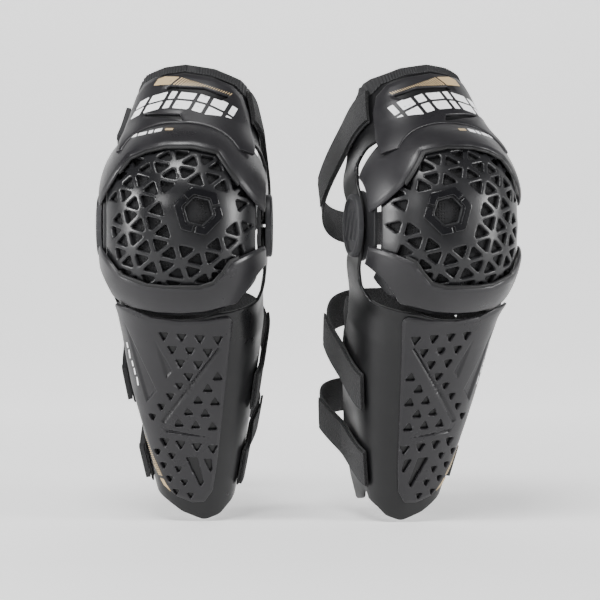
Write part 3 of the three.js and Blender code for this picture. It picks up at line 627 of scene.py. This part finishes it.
# ---- Link plates, pivot pins and hinge caps ----
# A black link plate at each side carries both pivots. Each pin's head lies inside it, and an oval cap with
# a recessed face and three raised bars covers the arms outside.
link_finish = moulded("black_link_plastic", "base_plastic", (0.009, 0.009, 0.010), 0.4,
                      grain=0.1, mottle=0.5, wear=0.4)
cap_finish = moulded("matt_cap_plastic", "base_plastic", (0.017, 0.017, 0.019), 0.48,
                     grain=0.15, mottle=0.5, wear=0.5)
pin_steel, _, _ = plain_material("bright_pin_steel", {
    "Base Color": (0.5, 0.5, 0.52, 1), "Metallic": 1, "Roughness": 0.3})
pin_finish = (pin_steel, "pin_steel")


def side_plane(y, z, offset):
    """A flat plate seen from the side: y and z as they are, and the offset as x."""
    return np.stack([offset + 0 * y, y, z], -1)


def capsule(points, radius):
    """Distance inside an oval about the two pivots: the radius less the distance to the line between them."""
    y, z = points[:, 1], points[:, 2]
    return radius - np.hypot(y, z - np.clip(z, -PIVOT, PIVOT))


def link_field(points):
    """The oval, with a lobe towards the cup inside two arcs, less the two pin holes."""
    y, z = points[:, 1], points[:, 2]
    toward = 36 - np.hypot(y, z - np.clip(z, -PIVOT, PIVOT))
    lobe = np.minimum(np.minimum(toward, -y), np.abs(y) + PIVOT + 1 - np.abs(z))
    field = np.maximum(capsule(points, 19.5), lobe)
    for pivot in (-PIVOT, PIVOT):
        field = np.minimum(field, np.hypot(y, z - pivot) - 4.3)
    return field


def cap_oval(points, inset_by):
    """Distance inside the cap's oval: an ellipse 40 by 59 mm, drawn in by the inset."""
    y, z = points[:, 1] / (20 - inset_by), points[:, 2] / (29.5 - inset_by)
    return (1 - np.hypot(y, z)) * (20 - inset_by)


def cap_relief(points):
    """The face lies 1.5 mm inside the rim, with three slanted bars raised in it."""
    y, z = points[:, 1], points[:, 2]
    face = np.clip(cap_oval(points, 4) / 0.8, 0, 1)
    slant = y + 0.35 * z
    bars = np.clip((2.1 - np.abs(np.mod(slant + 4.5, 9) - 4.5)) / 0.5, 0, 1)
    bars *= np.clip((14 - np.abs(z)) / 0.5, 0, 1) * np.clip((13 - np.abs(slant)) / 0.5, 0, 1)
    return 1.5 * face - 0.9 * face * bars


plate_span, cap_span = (70.4, 73.4), (77.2, 82.7)
plate_points, plate_faces = sheet_mesh(side_plane, spaced(-40, 22, 1.4), spaced(-52, 52, 1.4), link_field,
                                       *plate_span, edge=0.5)
cap_points, cap_faces = sheet_mesh(side_plane, spaced(-20.4, 20.4, 0.6), spaced(-30, 30, 0.6),
                                   lambda p: cap_oval(p, 0), *cap_span, edge=1.8, relief=cap_relief)


def turned_pin(pivot):
    """A pin turned about x: a low head with a rounded edge, then the shank out to the arm's face."""
    profile = [(68.2, 0), (68.2, 5.5), (68.5, 6.3), (70, 6.5), (70, 4), (76.4, 4), (76.8, 3.6), (76.8, 0)]
    turns = np.radians(np.arange(0, 360, 10))
    rings = [np.stack([np.full(36, x), r * np.sin(turns), pivot + r * np.cos(turns)], 1)
             for x, r in profile[1:-1]]
    rows = np.concatenate(rings + [np.array([[68.2, 0, pivot], [76.8, 0, pivot]])])
    faces = []
    for ring in range(len(rings) - 1):
        for i in range(36):
            a, b = ring * 36 + i, ring * 36 + (i + 1) % 36
            faces += [(a, a + 36, b + 36), (a, b + 36, b)]
    last, inner_tip = (len(rings) - 1) * 36, len(rings) * 36
    for i in range(36):
        faces += [(i, (i + 1) % 36, inner_tip), (last + (i + 1) % 36, last + i, inner_tip + 1)]
    return rows, np.array(faces)


def flipped(points, faces):
    """The same mesh on the other side of the knee, its faces turned round to suit."""
    return points * [-1, 1, 1], faces[:, ::-1]


for place, turn_over in (("inner", False), ("outer", True)):
    keep = flipped if turn_over else lambda p, f: (p, f)
    for side in SIDES:
        make_piece(f"{place}_link_plate", side, *keep(plate_points, plate_faces), link_finish, "knee",
                   f"{place}_link", smooth=35)
        make_piece(f"{place}_oval_cap", side, *keep(cap_points, cap_faces), cap_finish, "knee",
                   f"{place}_hinge_cap")
        for level, pivot in (("lower", -PIVOT), ("upper", PIVOT)):
            make_piece(f"{place}_{level}_turned_pin", side, *keep(*turned_pin(pivot)), pin_finish, "knee",
                       f"{place}_{level}_pin", smooth=35)

# ---- Cuff shell ----
# A satin grey shell is riveted on the front of the cuff, with two tapered vent slots. A gold block with
# thinning stripes and a row of slanted white blocks are printed on it.
cuff_outline = [[-63, 40], [-61, 76], [-56, 104], [-49, 125], [-41, 136], [-30, 141.5], [0, 145], [28, 140],
                [46, 133], [56, 122], [62, 106], [70, 80], [74, 60], [74, 40]]
cuff_slots = [[[-17.9, 129], [-13.5, 132], [19.9, 129.9], [43.7, 121.6], [36.1, 118.3], [16.7, 124.8]],
              [[-36.2, 103.7], [-23.2, 105.3], [-1.7, 104], [1.6, 98], [-18.9, 101.2]]]


def cuff_shell_field(points):
    """Inside the shell's outline, outside both slots, and clear of the band that slides below it."""
    field = rounded(points[:, [0, 2]], cuff_outline, 4)
    field = np.minimum(field, clear_of_cup(cuff, points, 6.5))
    return with_holes(points, field, cuff_slots, 0.8)


def cuff_relief(points):
    """A bevelled border 4 mm wide round the shell, and a shallow dish round each slot."""
    border = polygon_field(points[:, [0, 2]], cuff_outline)
    drop = 0.9 * np.clip(1 - border / 4, 0, 1)
    for outline in cuff_slots:
        drop = np.maximum(drop, 0.7 * np.clip(1 + polygon_field(points[:, [0, 2]], outline) / 3.5, 0, 1))
    return drop


shell_skin = (-3, 0)
cuff_columns = spaced(-74, 53, 0.7)
points, faces = sheet_mesh(limb_surface(cuff), cuff_columns, spaced(24, 124, 0.8), cuff_shell_field,
                           *shell_skin, edge=0.9, relief=cuff_relief)
for side in SIDES:
    make_piece("cuff_front_shell", side, points, faces, shell_finish, "thigh", "thigh_shell")


def print_ink(name, slot, colour):
    """Screen-printed ink: one even colour, a little worn where it was rubbed."""
    material, tree, shader = plain_material(name, {"Roughness": 0.45})
    worn = spread(tree, pattern(tree, "Noise", "Fac", Scale=260, Detail=4), 0.62, 0.74)
    tree.links.new(blended(tree, colour, [0.55 * c for c in colour], worn), shader.inputs["Base Color"])
    return material, slot


gold_ink = print_ink("gold_ink", "print_gold", (0.42, 0.31, 0.17))
white_ink = print_ink("white_ink", "print_white", (0.82, 0.82, 0.83))
ink_skin = (-0.4, 0.12)


def any_of(points, outlines, radius=0.35):
    """Greatest of the fields of several small outlines drawn from the front."""
    flat = points[:, [0, 2]]
    field = np.full(len(points), -9.0)
    for outline in outlines:
        outline = np.asarray(outline, float)
        near = np.hypot(*(flat - outline.mean(0)).T) < np.hypot(*(outline - outline.mean(0)).T).max() + 3
        field[near] = np.maximum(field[near], rounded(flat[near], outline, radius))
    return field


def bars_between(top, bottom, shares, thickness):
    """Slanted bars from a bottom line to a top line; each bar starts at a share of the way along both."""
    top, bottom = np.asarray(top, float), np.asarray(bottom, float)
    bars = []
    for share, wide in zip(shares, thickness):
        a, b = top[0] + (top[1] - top[0]) * share, bottom[0] + (bottom[1] - bottom[0]) * share
        across = (top[1] - top[0]) / np.linalg.norm(top[1] - top[0]) * wide
        bars.append([a, a + across, b + across, b])
    return bars


gold_block = [[-29.6, 132.6], [-25.5, 139], [-18.9, 141.4], [-4.8, 140.6], [-13.3, 133.1]]
stripe_shares = np.linspace(0, 1, 22)
cuff_gold = [gold_block]
cuff_gold += bars_between([(-2.5, 140.2), (45, 124.8)], [(-10.8, 133.2), (42, 122.4)], stripe_shares,
                          1.35 - 0.75 * stripe_shares)


def arc_height(x):
    """Height of the middle of the row of white blocks: highest at x = -6, lower at both ends."""
    return 118.5 - 0.0062 * (x + 6) ** 2


white_blocks = []
for start, wide in ((-46, 9), (-33.5, 15), (-15, 6), (-5.5, 15), (13, 9), (25.5, 13), (42, 5)):
    left, right = start, start + wide
    for low_end, high_end in ((-8.5, -0.9), (0.9, 8.5)):
        white_blocks.append([[x + 0.5 * h, arc_height(x) + h] for x, h in
                             ((left, low_end), (right, low_end), (right, high_end), (left, high_end))])
for name, outlines, ink, pitch in (("cuff_gold_stripes", cuff_gold, gold_ink, 0.32),
                                   ("cuff_white_blocks", white_blocks, white_ink, 0.6)):
    points, faces = sheet_mesh(limb_surface(cuff), spaced(-62, 52, pitch), spaced(60, 124, pitch),
                               lambda p: np.minimum(any_of(p, outlines), cuff_shell_field(p) - 1.2),
                               *ink_skin, edge=0.1, relief=lambda p: 0.0 * p[:, 0])
    for side in SIDES:
        make_piece(name, side, points, faces, ink, "thigh", smooth=35)

# ---- Shin shell ----
# A long satin grey shell covers the front of the shin, with rows of triangular vents, two sunk wedges, a
# slanting groove that ends in a square boss, and two long slots near the ankle.
shin_outline = [[-66, -69], [-46, -78], [-26.5, -85.5], [0.5, -89], [26, -88], [49.8, -84.5], [43, -135],
                [35.4, -189], [30, -228], [25, -255], [16.4, -267], [4, -267.5], [-12, -261], [-24, -250],
                [-33, -232], [-42, -198], [-55, -150]]
hole_groups = [((-16.2, -102.1), (7.3, -13), (16.9, -1.3), (4, 3, 2, 1), 180, 10.5),
               ((-3.4, -150.2), (-9.2, -10.3), (0, 0), (1, 1, 1, 1), 180, 9),
               ((33, -142.3), (-9.6, -11.4), (16, -1.6), (1, 1, 2, 2, 3), 0, 10.5),
               ((-20.2, -205.4), (0, 0), (15.5, -2.3), (4,), 180, 11),
               ((-28, -216), (5.5, -13.3), (14.3, -3.5), (2, 2, 2, 2), 180, 8.5)]


def pointer(middle, side_length, turn):
    """A triangle of equal sides about a point, pointing up, or down if turned by 180 degrees."""
    angles = np.radians(np.array([90, 210, 330]) + turn)
    return np.array(middle) + side_length / math.sqrt(3) * np.stack([np.cos(angles), np.sin(angles)], 1)


shin_holes = []
long_slots = [[[-0.4, -221], [11, -221], [16.2, -246.5], [12.9, -251.6]],
              [[16.8, -222.3], [24.4, -222.6], [25.2, -232.7], [23.2, -237]]]
for start, row, step, counts, turn, size in hole_groups:
    for i, count in enumerate(counts):
        for j in range(count):
            spot = (start[0] + row[0] * i + step[0] * j, start[1] + row[1] * i + step[1] * j)
            if min(np.hypot(*(np.mean(slot_, 0) - spot)) for slot_ in long_slots) > 12:
                shin_holes.append(pointer(spot, size, turn))
wedges = [[[-53.5, -92], [-25.9, -154.8], [-36.2, -166.5]], [[-24.5, -106], [-10, -136.9], [-15.6, -143.3]]]
grooves = [[[36.4, -114.6], [34.6, -113.6], [-22.6, -185.2], [-19.5, -187.5]],
           [[-20, -193.2], [-17.5, -196.6], [24, -201.2]]]
boss = [[-22.6, -188.6], [-18, -186.6], [-15.6, -191.2], [-20.2, -193.6]]


def shin_shell_field(points):
    """Inside the shell's outline and outside every vent and slot."""
    return with_holes(points, rounded(points[:, [0, 2]], shin_outline, 5), shin_holes + long_slots, 1.1)


def shin_relief(points):
    """A bevelled border, sunk wedges that deepen towards their wide ends, and the groove with its boss."""
    flat = points[:, [0, 2]]
    drop = 1.1 * np.clip(1 - polygon_field(flat, shin_outline) / 3.5, 0, 1)
    for outline in wedges:
        tip, low_end = np.array(outline[0]), np.array(outline[2])
        along = np.clip((flat - tip) @ (low_end - tip) / ((low_end - tip) @ (low_end - tip)), 0, 1)
        within = np.clip((polygon_field(flat, outline) + 0.3) / 1.5, 0, 1)
        drop = np.maximum(drop, (0.6 + 1.7 * along) * within)
    for outline in grooves:
        drop = np.maximum(drop, 1.9 * np.clip((polygon_field(flat, outline) + 0.4) / 1.1, 0, 1))
    return np.where(polygon_field(flat, boss) > -0.2, 0.15, drop)


shin_rows = spaced(40, 262, 1.0)
points, faces = sheet_mesh(limb_surface(shin), spaced(-74, 67.5, 0.95), shin_rows, shin_shell_field,
                           *shell_skin, edge=0.9, relief=shin_relief)
for side in SIDES:
    make_piece("shin_front_shell", side, points, faces, shell_finish, "shin", "shin_shell")

shin_gold = [[[-31.4, -242.5], [-23, -243.6], [-16.6, -256.5], [-22, -255], [-27.4, -250.8]]]
shin_gold += bars_between([(-24, -240.4), (-41.5, -198.5)], [(-31.6, -239.4), (-42.4, -198.8)], stripe_shares,
                          1.25 - 0.7 * stripe_shares)
white_dashes = [[[x, z], [x + 1.3, z + 0.4], [x + 2.2, z - d], [x + 0.9, z - d - 0.4]] for x, z, d in
                ((-54.4, -110, 5), (-52.6, -117, 8), (-49.8, -127.5, 5), (-48.0, -134.5, 6),
                 (-45.6, -143, 8))]
for name, outlines, ink in (("shin_gold_stripes", shin_gold, gold_ink),
                            ("shin_white_dashes", white_dashes, white_ink)):
    points, faces = sheet_mesh(limb_surface(shin), spaced(-74, 10, 0.4), spaced(60, 262, 0.4),
                               lambda p: np.minimum(any_of(p, outlines, 0.2), shin_shell_field(p) - 0.4),
                               *ink_skin, edge=0.1, relief=shin_relief)
    for side in SIDES:
        make_piece(name, side, points, faces, ink, "shin", smooth=35)

band_dashes = [[[x + 0.3 * h, 83.2 + 0.2 * (x + 46) + h]
                for x, h in ((a, -1.5), (a + d, -1.5), (a + d, 1.5), (a, 1.5))]
               for a, d in ((-46, 5), (-39.5, 8), (-29.5, 4), (-24, 7))]
band_gold = [[[x + 0.3 * h, 89.2 + h] for x, h in ((-14, -1.0), (-6.5, -1.0), (-6.5, 1.0), (-14, 1.0))]]
band_ink_skin = (5.1, 5.62)
for name, outlines, ink in (("band_white_dashes", band_dashes, white_ink),
                            ("band_gold_dash", band_gold, gold_ink)):
    points, faces = sheet_mesh(swept_surface(cuff), spaced(-50, 5, 0.4), spaced(30, 72, 0.4),
                               lambda p: np.minimum(any_of(p, outlines, 0.2),
                                                    band_field(cuff, p, False) - 1.0),
                               *band_ink_skin, edge=0.1, relief=band_relief)
    for side in SIDES:
        make_piece(name, side, points, faces, ink, "thigh", smooth=35)

# ---- Straps, hooks and pull tabs ----
# Three elastic loop-faced straps close each guard behind the leg. Each starts at a slot on the inner side,
# ends on a ribbed plastic hook on the outer side, and carries a folded pull tab near its start.


def fuzzy_webbing(name, colour):
    """Loop-faced elastic: crossed fine ribs and a felt of tiny loops, paler where it catches the light."""
    material, tree, shader = plain_material(name, {
        "Roughness": 0.92, "Sheen Weight": 0.06, "Sheen Roughness": 0.5})
    height = tree.nodes.new("ShaderNodeMath")
    height.operation = "ADD"
    felt = pattern(tree, "Noise", "Fac", Scale=900, Detail=5, Roughness=0.75)
    tree.links.new(felt, height.inputs[0])
    tree.links.new(pattern(tree, "Voronoi", "Distance", Scale=620), height.inputs[1])
    height = height.outputs["Value"]
    shade = blended(tree, [0.45 * c for c in colour], [2.3 * c for c in colour],
                    spread(tree, height, 0.5, 1.15))
    tree.links.new(shade, shader.inputs["Base Color"])
    bumped(tree, shader, height, 0.8, 0.0012)
    return material, "strap_fabric"


strap_finish = fuzzy_webbing("loop_faced_webbing", (0.0055, 0.0055, 0.006))
thread_finish = fuzzy_webbing("black_thread", (0.012, 0.012, 0.013))
hook_finish = moulded("ribbed_hook_plastic", "base_plastic", (0.008, 0.008, 0.009), 0.36,
                      grain=0.08, mottle=0.5, wear=0.5)
strap_runs = {
    "thigh": dict(limb=cuff, front=88, back=64, slot=43, depth=132, bulge=10, start=58, body="thigh",
                  nodes="thigh_strap"),
    "upper_calf": dict(limb=shin, front=138, back=108, slot=40, depth=84, bulge=12, start=67.5, body="shin",
                       nodes="upper_calf_strap"),
    "lower_calf": dict(limb=shin, front=217, back=205, slot=45, depth=80, bulge=26, start=67.5, body="shin",
                       nodes="lower_calf_strap"),
}


def strap_surface(run, half_width=19.0):
    """A strap's skin: round the limb's front from its slot, straight back, and in a superellipse behind.

    u is the turn from the slot to 90, the end of the side at 91, the back from there to 271, and the other
    side in the same way. v goes from -1 to 1 across the strap, which drops evenly from the slot to the back.
    """
    limb = run["limb"]

    def surface(u, v, offset):
        hand = np.where(u > 181, -1.0, 1.0)
        turn = np.where(u > 181, 362 - u, u)
        around = np.radians(np.clip(turn - 91, 0, 90))
        f = np.full(np.shape(u), -float(run["depth"]))
        for _ in range(4):
            share = np.clip((run["slot"] - f) / (run["slot"] + run["depth"]), 0, 1)
            s = run["front"] + (run["back"] - run["front"]) * share + v * half_width
            skin = offset - 2.4
            x_front, f_front = limb_section(limb, hand * np.minimum(turn, 91), s, skin, side_end=0.0)
            width, drift, _, _ = limb_size(limb, s)
            half = width + skin + run["bulge"] * np.sin(around)
            x_back = hand * half * signed_power(np.maximum(np.cos(around), 0), 2 / 2.6) + drift
            f_back = -(run["depth"] + offset) * signed_power(np.sin(around), 2 / 2.6)
            x = np.where(turn <= 91, x_front, x_back)
            f = np.where(turn <= 91, f_front, f_back)
        return on_limb(limb, x, f, s)

    return surface


def even_turns(run, start, end, step):
    """Turns along a strap whose points are evenly spaced along its middle line."""
    dense = np.concatenate([np.linspace(start, 90, 60), np.linspace(90, 91, 30)[1:],
                            181 - 90 * np.cos(np.linspace(0, math.pi, 400))[1:-1],
                            np.linspace(271, 272, 30), np.linspace(272, 300, 60)[1:]])
    dense = dense[(dense >= start) & (dense <= end)]
    line = strap_surface(run)(dense, np.zeros(len(dense)), np.zeros(len(dense)))
    run_length = np.concatenate([[0], np.cumsum(np.linalg.norm(np.diff(line, axis=0), axis=1))])
    count = int(run_length[-1] / step) + 1
    return np.interp(np.linspace(0, run_length[-1], count), run_length, dense), run_length[-1]


def ribbon(run, turns, vs, thickness):
    """A closed ribbon along a strap; thickness(along, v) gives its inner and outer offsets at each point."""
    surface = strap_surface(run)
    u, v = np.meshgrid(turns, vs, indexing="ij")
    along = np.linspace(0, 1, len(turns))[:, None] + 0 * v
    inner, outer = thickness(along, v)
    low_side = surface(u.ravel(), v.ravel(), inner.ravel())
    high_side = surface(u.ravel(), v.ravel(), outer.ravel())
    return walled(high_side, low_side, grid_faces(*u.shape))


def webbing_thickness(along, v):
    """2.2 mm thick with edges bound thinner, and slight waves as elastic has under uneven pull."""
    wave = 0.12 * np.sin(along * 61 + 2.1 * v) * np.sin(along * 23)
    bound = 0.5 * np.clip((np.abs(v) - 0.86) / 0.14, 0, 1) ** 2
    return 0.1 + bound, 2.3 - bound + wave


def tab_thickness(along, v):
    """A folded pull tab, fuller where its fold turns over and pressed flat along its seams."""
    fold = 0.35 * np.clip((along - 0.9) / 0.1, 0, 1)
    bound = 0.6 * np.clip((np.abs(v) - 0.86) / 0.14, 0, 1) ** 2
    seam = 0.3 * np.exp(-((np.abs(v) - 0.8) / 0.05) ** 2)
    return 2.85 + 0 * v, 5.0 + fold - bound - seam


def hook_thickness(along, v):
    """A flat hook with a raised rim and eight grip ribs across its middle."""
    rim = np.clip((np.maximum(np.abs(v) - 0.8, (np.abs(along - 0.5) - 0.4) * 2) + 0.03) / 0.05, 0, 1)
    ribs = np.clip(0.5 + 1.4 * np.sin(along * 2 * math.pi * 8), 0, 1)
    return 2.85 + 0 * v, 5.6 + np.maximum(1.7 * rim, 1.3 * ribs * (np.abs(v) < 0.72))


def stitch_row(run, turns, v_at, offset, pitch):
    """Short raised stitches along a strap: one small rounded lozenge for every pitch of thread."""
    surface = strap_surface(run)
    line = surface(turns, v_at + 0 * turns, offset + 0 * turns)
    steps = np.concatenate([[0], np.cumsum(np.linalg.norm(np.diff(line, axis=0), axis=1))])
    points, faces = [], []
    for at in np.arange(pitch, steps[-1] - pitch, pitch):
        start, mid, end = (np.interp(at + d * pitch, steps, turns) for d in (-0.32, 0, 0.32))
        corners = ((start, 0, -0.1), (end, 0, -0.1), (mid, -0.022, -0.1), (mid, 0.022, -0.1),
                   (mid, 0, 0.28), (mid, 0, -0.3))
        lozenge = [surface(np.array([turn]), np.array([v_at + aside]), np.array([offset + lift]))[0]
                   for turn, aside, lift in corners]
        k = len(points)
        points += lozenge
        a, b, c, d, top, low_tip = range(k, k + 6)
        faces += [(a, c, top), (c, b, top), (b, d, top), (d, a, top), (c, a, low_tip), (b, c, low_tip),
                  (d, b, low_tip), (a, d, low_tip)]
    return np.array(points), np.array(faces)


across = np.array([-1, -0.97, -0.92, -0.86, -0.7, -0.5, -0.25, 0, 0.25, 0.5, 0.7, 0.86, 0.92, 0.97, 1])
for name, run in strap_runs.items():
    turns, length = even_turns(run, run["start"], 284, 2.4)
    tab_turns, tab_length = even_turns(run, run["start"], 120, 2.0)
    hook_turns, _ = even_turns(run, 259, 284, 0.7)
    strap_points, strap_faces = ribbon(run, turns, across, webbing_thickness)
    tab_points, tab_faces = ribbon(run, tab_turns, 0.9 * across, tab_thickness)
    hook_points, hook_faces = ribbon(run, hook_turns, 0.8 * np.linspace(-1, 1, 41), hook_thickness)
    seams = [stitch_row(run, tab_turns, v_at, 4.55, 3.2) for v_at in (-0.72, 0.72)]
    seams.append(stitch_row(run, turns, -0.84, 2.25, 3.4))
    seams.append(stitch_row(run, turns, 0.84, 2.25, 3.4))
    seam_points, seam_faces, lifted = [], [], 0
    for some_points, some_faces in seams:
        seam_points.append(some_points)
        seam_faces.append(some_faces + lifted)
        lifted += len(some_points)
    for side in SIDES:
        strap = make_piece(f"{name}_webbing", side, strap_points, strap_faces, strap_finish, run["body"],
                           run["nodes"])
        tab = make_piece(f"{name}_pull_tab", side, tab_points, tab_faces, strap_finish, run["body"],
                         f"{run['nodes']}_tab")
        hook = make_piece(f"{name}_ribbed_hook", side, hook_points, hook_faces, hook_finish, run["body"],
                          f"{run['nodes']}_hook", smooth=30)
        thread = make_piece(f"{name}_stitches", side, np.concatenate(seam_points), np.concatenate(seam_faces),
                            thread_finish, run["body"])
        if name != "lower_calf":
            for slack in (strap, tab, thread):
                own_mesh(slack)

# ---- Padding ----
# Mesh-covered foam lines the cuff, the knee cup and the shin. Each pad is sewn flat along its border and
# its channels, and the foam swells the cover between the seams. Its outer face lies against the plastic.


def spacer_mesh(name):
    """Black spacer mesh: rows of small round pores in a soft, dull knit, the pores sunk and painted darker as
    painted shade.
    """
    material, tree, shader = plain_material(name, {"Roughness": 0.95, "Sheen Weight": 0.05})
    pore_depth_and_shade = spread(tree, pattern(tree, "Voronoi", "Distance", Scale=360, Randomness=0.25), 0.12, 0.42)
    # Painted shade: the colour darkens towards the middle of each pore, where the pore is sunk.
    shade = blended(tree, (0.002, 0.002, 0.002), (0.005, 0.005, 0.006), pore_depth_and_shade)
    tree.links.new(shade, shader.inputs["Base Color"])
    bumped(tree, shader, pore_depth_and_shade, 0.7, 0.001)
    return material, "liner_foam"


pad_finish = spacer_mesh("black_spacer_mesh")


def pad_start(surface, us, vs, outer):
    """A thin closed slab 4.4 mm thick under the outer offset, with its edges rounded off."""
    def inside_border(points):
        """Everything inside the slab: its border is its own outline."""
        return np.full(len(points), 9.0)
    return sheet_mesh(surface, us, vs, inside_border, outer - 4.4, outer, edge=0.8)


def swell(name, points, faces, channel, outward):
    """Sews a slab flat where the channel function is true, then lets its cover swell by cloth simulation.

    The cover is held to 2.6 mm of movement, and towards the plastic it hardly moves at all.
    """
    mesh = bpy.data.meshes.new(name)
    mesh.from_pydata((points / 1000).tolist(), [], faces.tolist())
    pad = bpy.data.objects.new(name, mesh)
    bpy.context.collection.objects.link(pad)
    bpy.context.view_layer.objects.active = pad
    even = pad.modifiers.new("even", "REMESH")
    even.mode = "VOXEL"
    even.voxel_size = 0.004
    even.use_smooth_shade = True
    graph = bpy.context.evaluated_depsgraph_get()
    flat = bpy.data.meshes.new_from_object(pad.evaluated_get(graph))
    pad.modifiers.clear()
    pad.data = flat
    before = np.empty(3 * len(flat.vertices))
    flat.vertices.foreach_get("co", before)
    before = before.reshape(-1, 3)
    after = before
    sewn = pad.vertex_groups.new(name="sewn")
    sewn.add([int(i) for i in np.nonzero(channel(before * 1000))[0]], 1.0, "REPLACE")
    cover = pad.modifiers.new("cover", "CLOTH")
    cover.settings.vertex_group_mass = "sewn"
    cover.settings.use_pressure = True
    cover.settings.uniform_pressure_force = 4
    cover.settings.effector_weights.gravity = 0
    cover.settings.quality = 5
    cover.point_cache.frame_start = 1
    cover.point_cache.frame_end = 20
    for frame_number in range(1, 21):
        bpy.context.scene.frame_set(frame_number)
    graph = bpy.context.evaluated_depsgraph_get()
    swollen = bpy.data.meshes.new_from_object(pad.evaluated_get(graph))
    after = np.empty(3 * len(swollen.vertices))
    swollen.vertices.foreach_get("co", after)
    after = after.reshape(-1, 3)
    bpy.context.scene.frame_set(1)
    move = after - before
    length = np.linalg.norm(move, axis=1, keepdims=True)
    move *= np.minimum(1, 0.0026 / np.maximum(length, 1e-9))
    facing = outward(before * 1000)
    push = np.sum(move * facing, axis=1, keepdims=True)
    after = before + move - facing * np.maximum(push, 0)
    quads = [tuple(polygon.vertices) for polygon in flat.polygons]
    bpy.data.objects.remove(pad)
    return after * 1000, quads


def limb_seams(limb, first, last, pitch):
    """True near the ends of a pad and near each channel sewn across it."""
    def sewn(points):
        f, s = side_view(limb, points).T
        ring = np.abs(np.mod(s - first, pitch) - pitch / 2) > pitch / 2 - 2.2
        return ring | (s < first + 4) | (s > last - 4)
    return sewn


def limb_outward(limb):
    """Unit vectors from a limb's leaning axis outwards through each point."""
    def facing(points):
        f, s = side_view(limb, points).T
        away = points - on_limb(limb, 0 * f, 0 * f, s)
        return away / np.linalg.norm(away, axis=1, keepdims=True)
    return facing


def knee_seams(points):
    """True near the knee pad's top and bottom, and near a channel every 26 mm of height."""
    z = points[:, 2]
    return (np.abs(np.mod(z + 13, 26) - 13) > 10.8) | (np.abs(z) > 60)


def knee_outward(points):
    """Unit vectors from the hinge axis outwards through each point."""
    away = points * [0.55, 1, 1]
    away[:, 2] -= np.clip(points[:, 2], -PIVOT, PIVOT)
    return away / np.linalg.norm(away, axis=1, keepdims=True)


side_bend = spaced(90, 91, 0.12)[1:]
pads = (("shin_pad", "shin", "shin_liner", 0.7, limb_surface(shin), limb_seams(shin, 64, 240, 35.2),
         limb_outward(shin), np.concatenate([-side_bend[::-1], spaced(-90, 90, 3), side_bend]),
         spaced(64, 240, 4), -7),
        ("thigh_pad", "thigh", "thigh_liner", 0.6, limb_surface(cuff), limb_seams(cuff, 68, 106, 19),
         limb_outward(cuff), spaced(-67.5, 67.5, 3), spaced(68, 106, 4), -7),
        ("knee_pad", "knee", "knee_liner", 0.7, cup_surface, knee_seams, knee_outward, spaced(-62, 62, 3),
         np.concatenate([spaced(-52, -1, 3)[:-1], spaced(-1, 1, 0.25), spaced(1, 56, 3)[1:]]), -4.6))
for name, body, node, fill, surface, seams, outward, us, vs, outer in pads:
    start_points, start_faces = pad_start(surface, us, vs, outer)
    pad_points, pad_quads = swell(name, start_points, start_faces, seams, outward)
    for side in SIDES:
        loops = np.array(pad_quads)
        pad = make_piece(name, side, pad_points, loops, pad_finish, body, node, smooth=180)
        finer = pad.modifiers.new("finer", "SUBSURF")
        finer.levels = finer.render_levels = 1

# ---- Cuff rim ----
# A ribbed rubber rim is pressed on the inner side of the cuff's far edge. Its ribs run across it.
rim_finish = moulded("ribbed_rubber_rim", "base_plastic", (0.010, 0.010, 0.011), 0.62,
                     grain=0.2, mottle=0.4, wear=0.3)


def rim_field(points):
    """A strip up to 7 mm wide inside the cuff's far edge, tapering off at both ends."""
    edge = polygon_field(points[:, [0, 2]], base_fronts["thigh"])
    room = polygon_field(side_view(cuff, points), base_backs["thigh"] + front_edge + arm_end)
    return np.minimum(np.minimum(edge - 0.3, 7.3 - edge), np.minimum(room, points[:, 2] - 112))


def rim_relief(points):
    """Ribs every 2.6 mm along the rim, 0.8 mm deep."""
    return 0.4 - 0.4 * np.cos(points[:, 0] * 2 * math.pi / 2.6)


rim_skin = (-3.4, -1.6)
points, faces = sheet_mesh(limb_surface(cuff), spaced(-88, 88, 0.5), spaced(96, 150, 0.9), rim_field,
                           *rim_skin, edge=0.7, relief=rim_relief)
for side in SIDES:
    make_piece("cuff_rubber_rim", side, points, faces, rim_finish, "thigh", smooth=60)
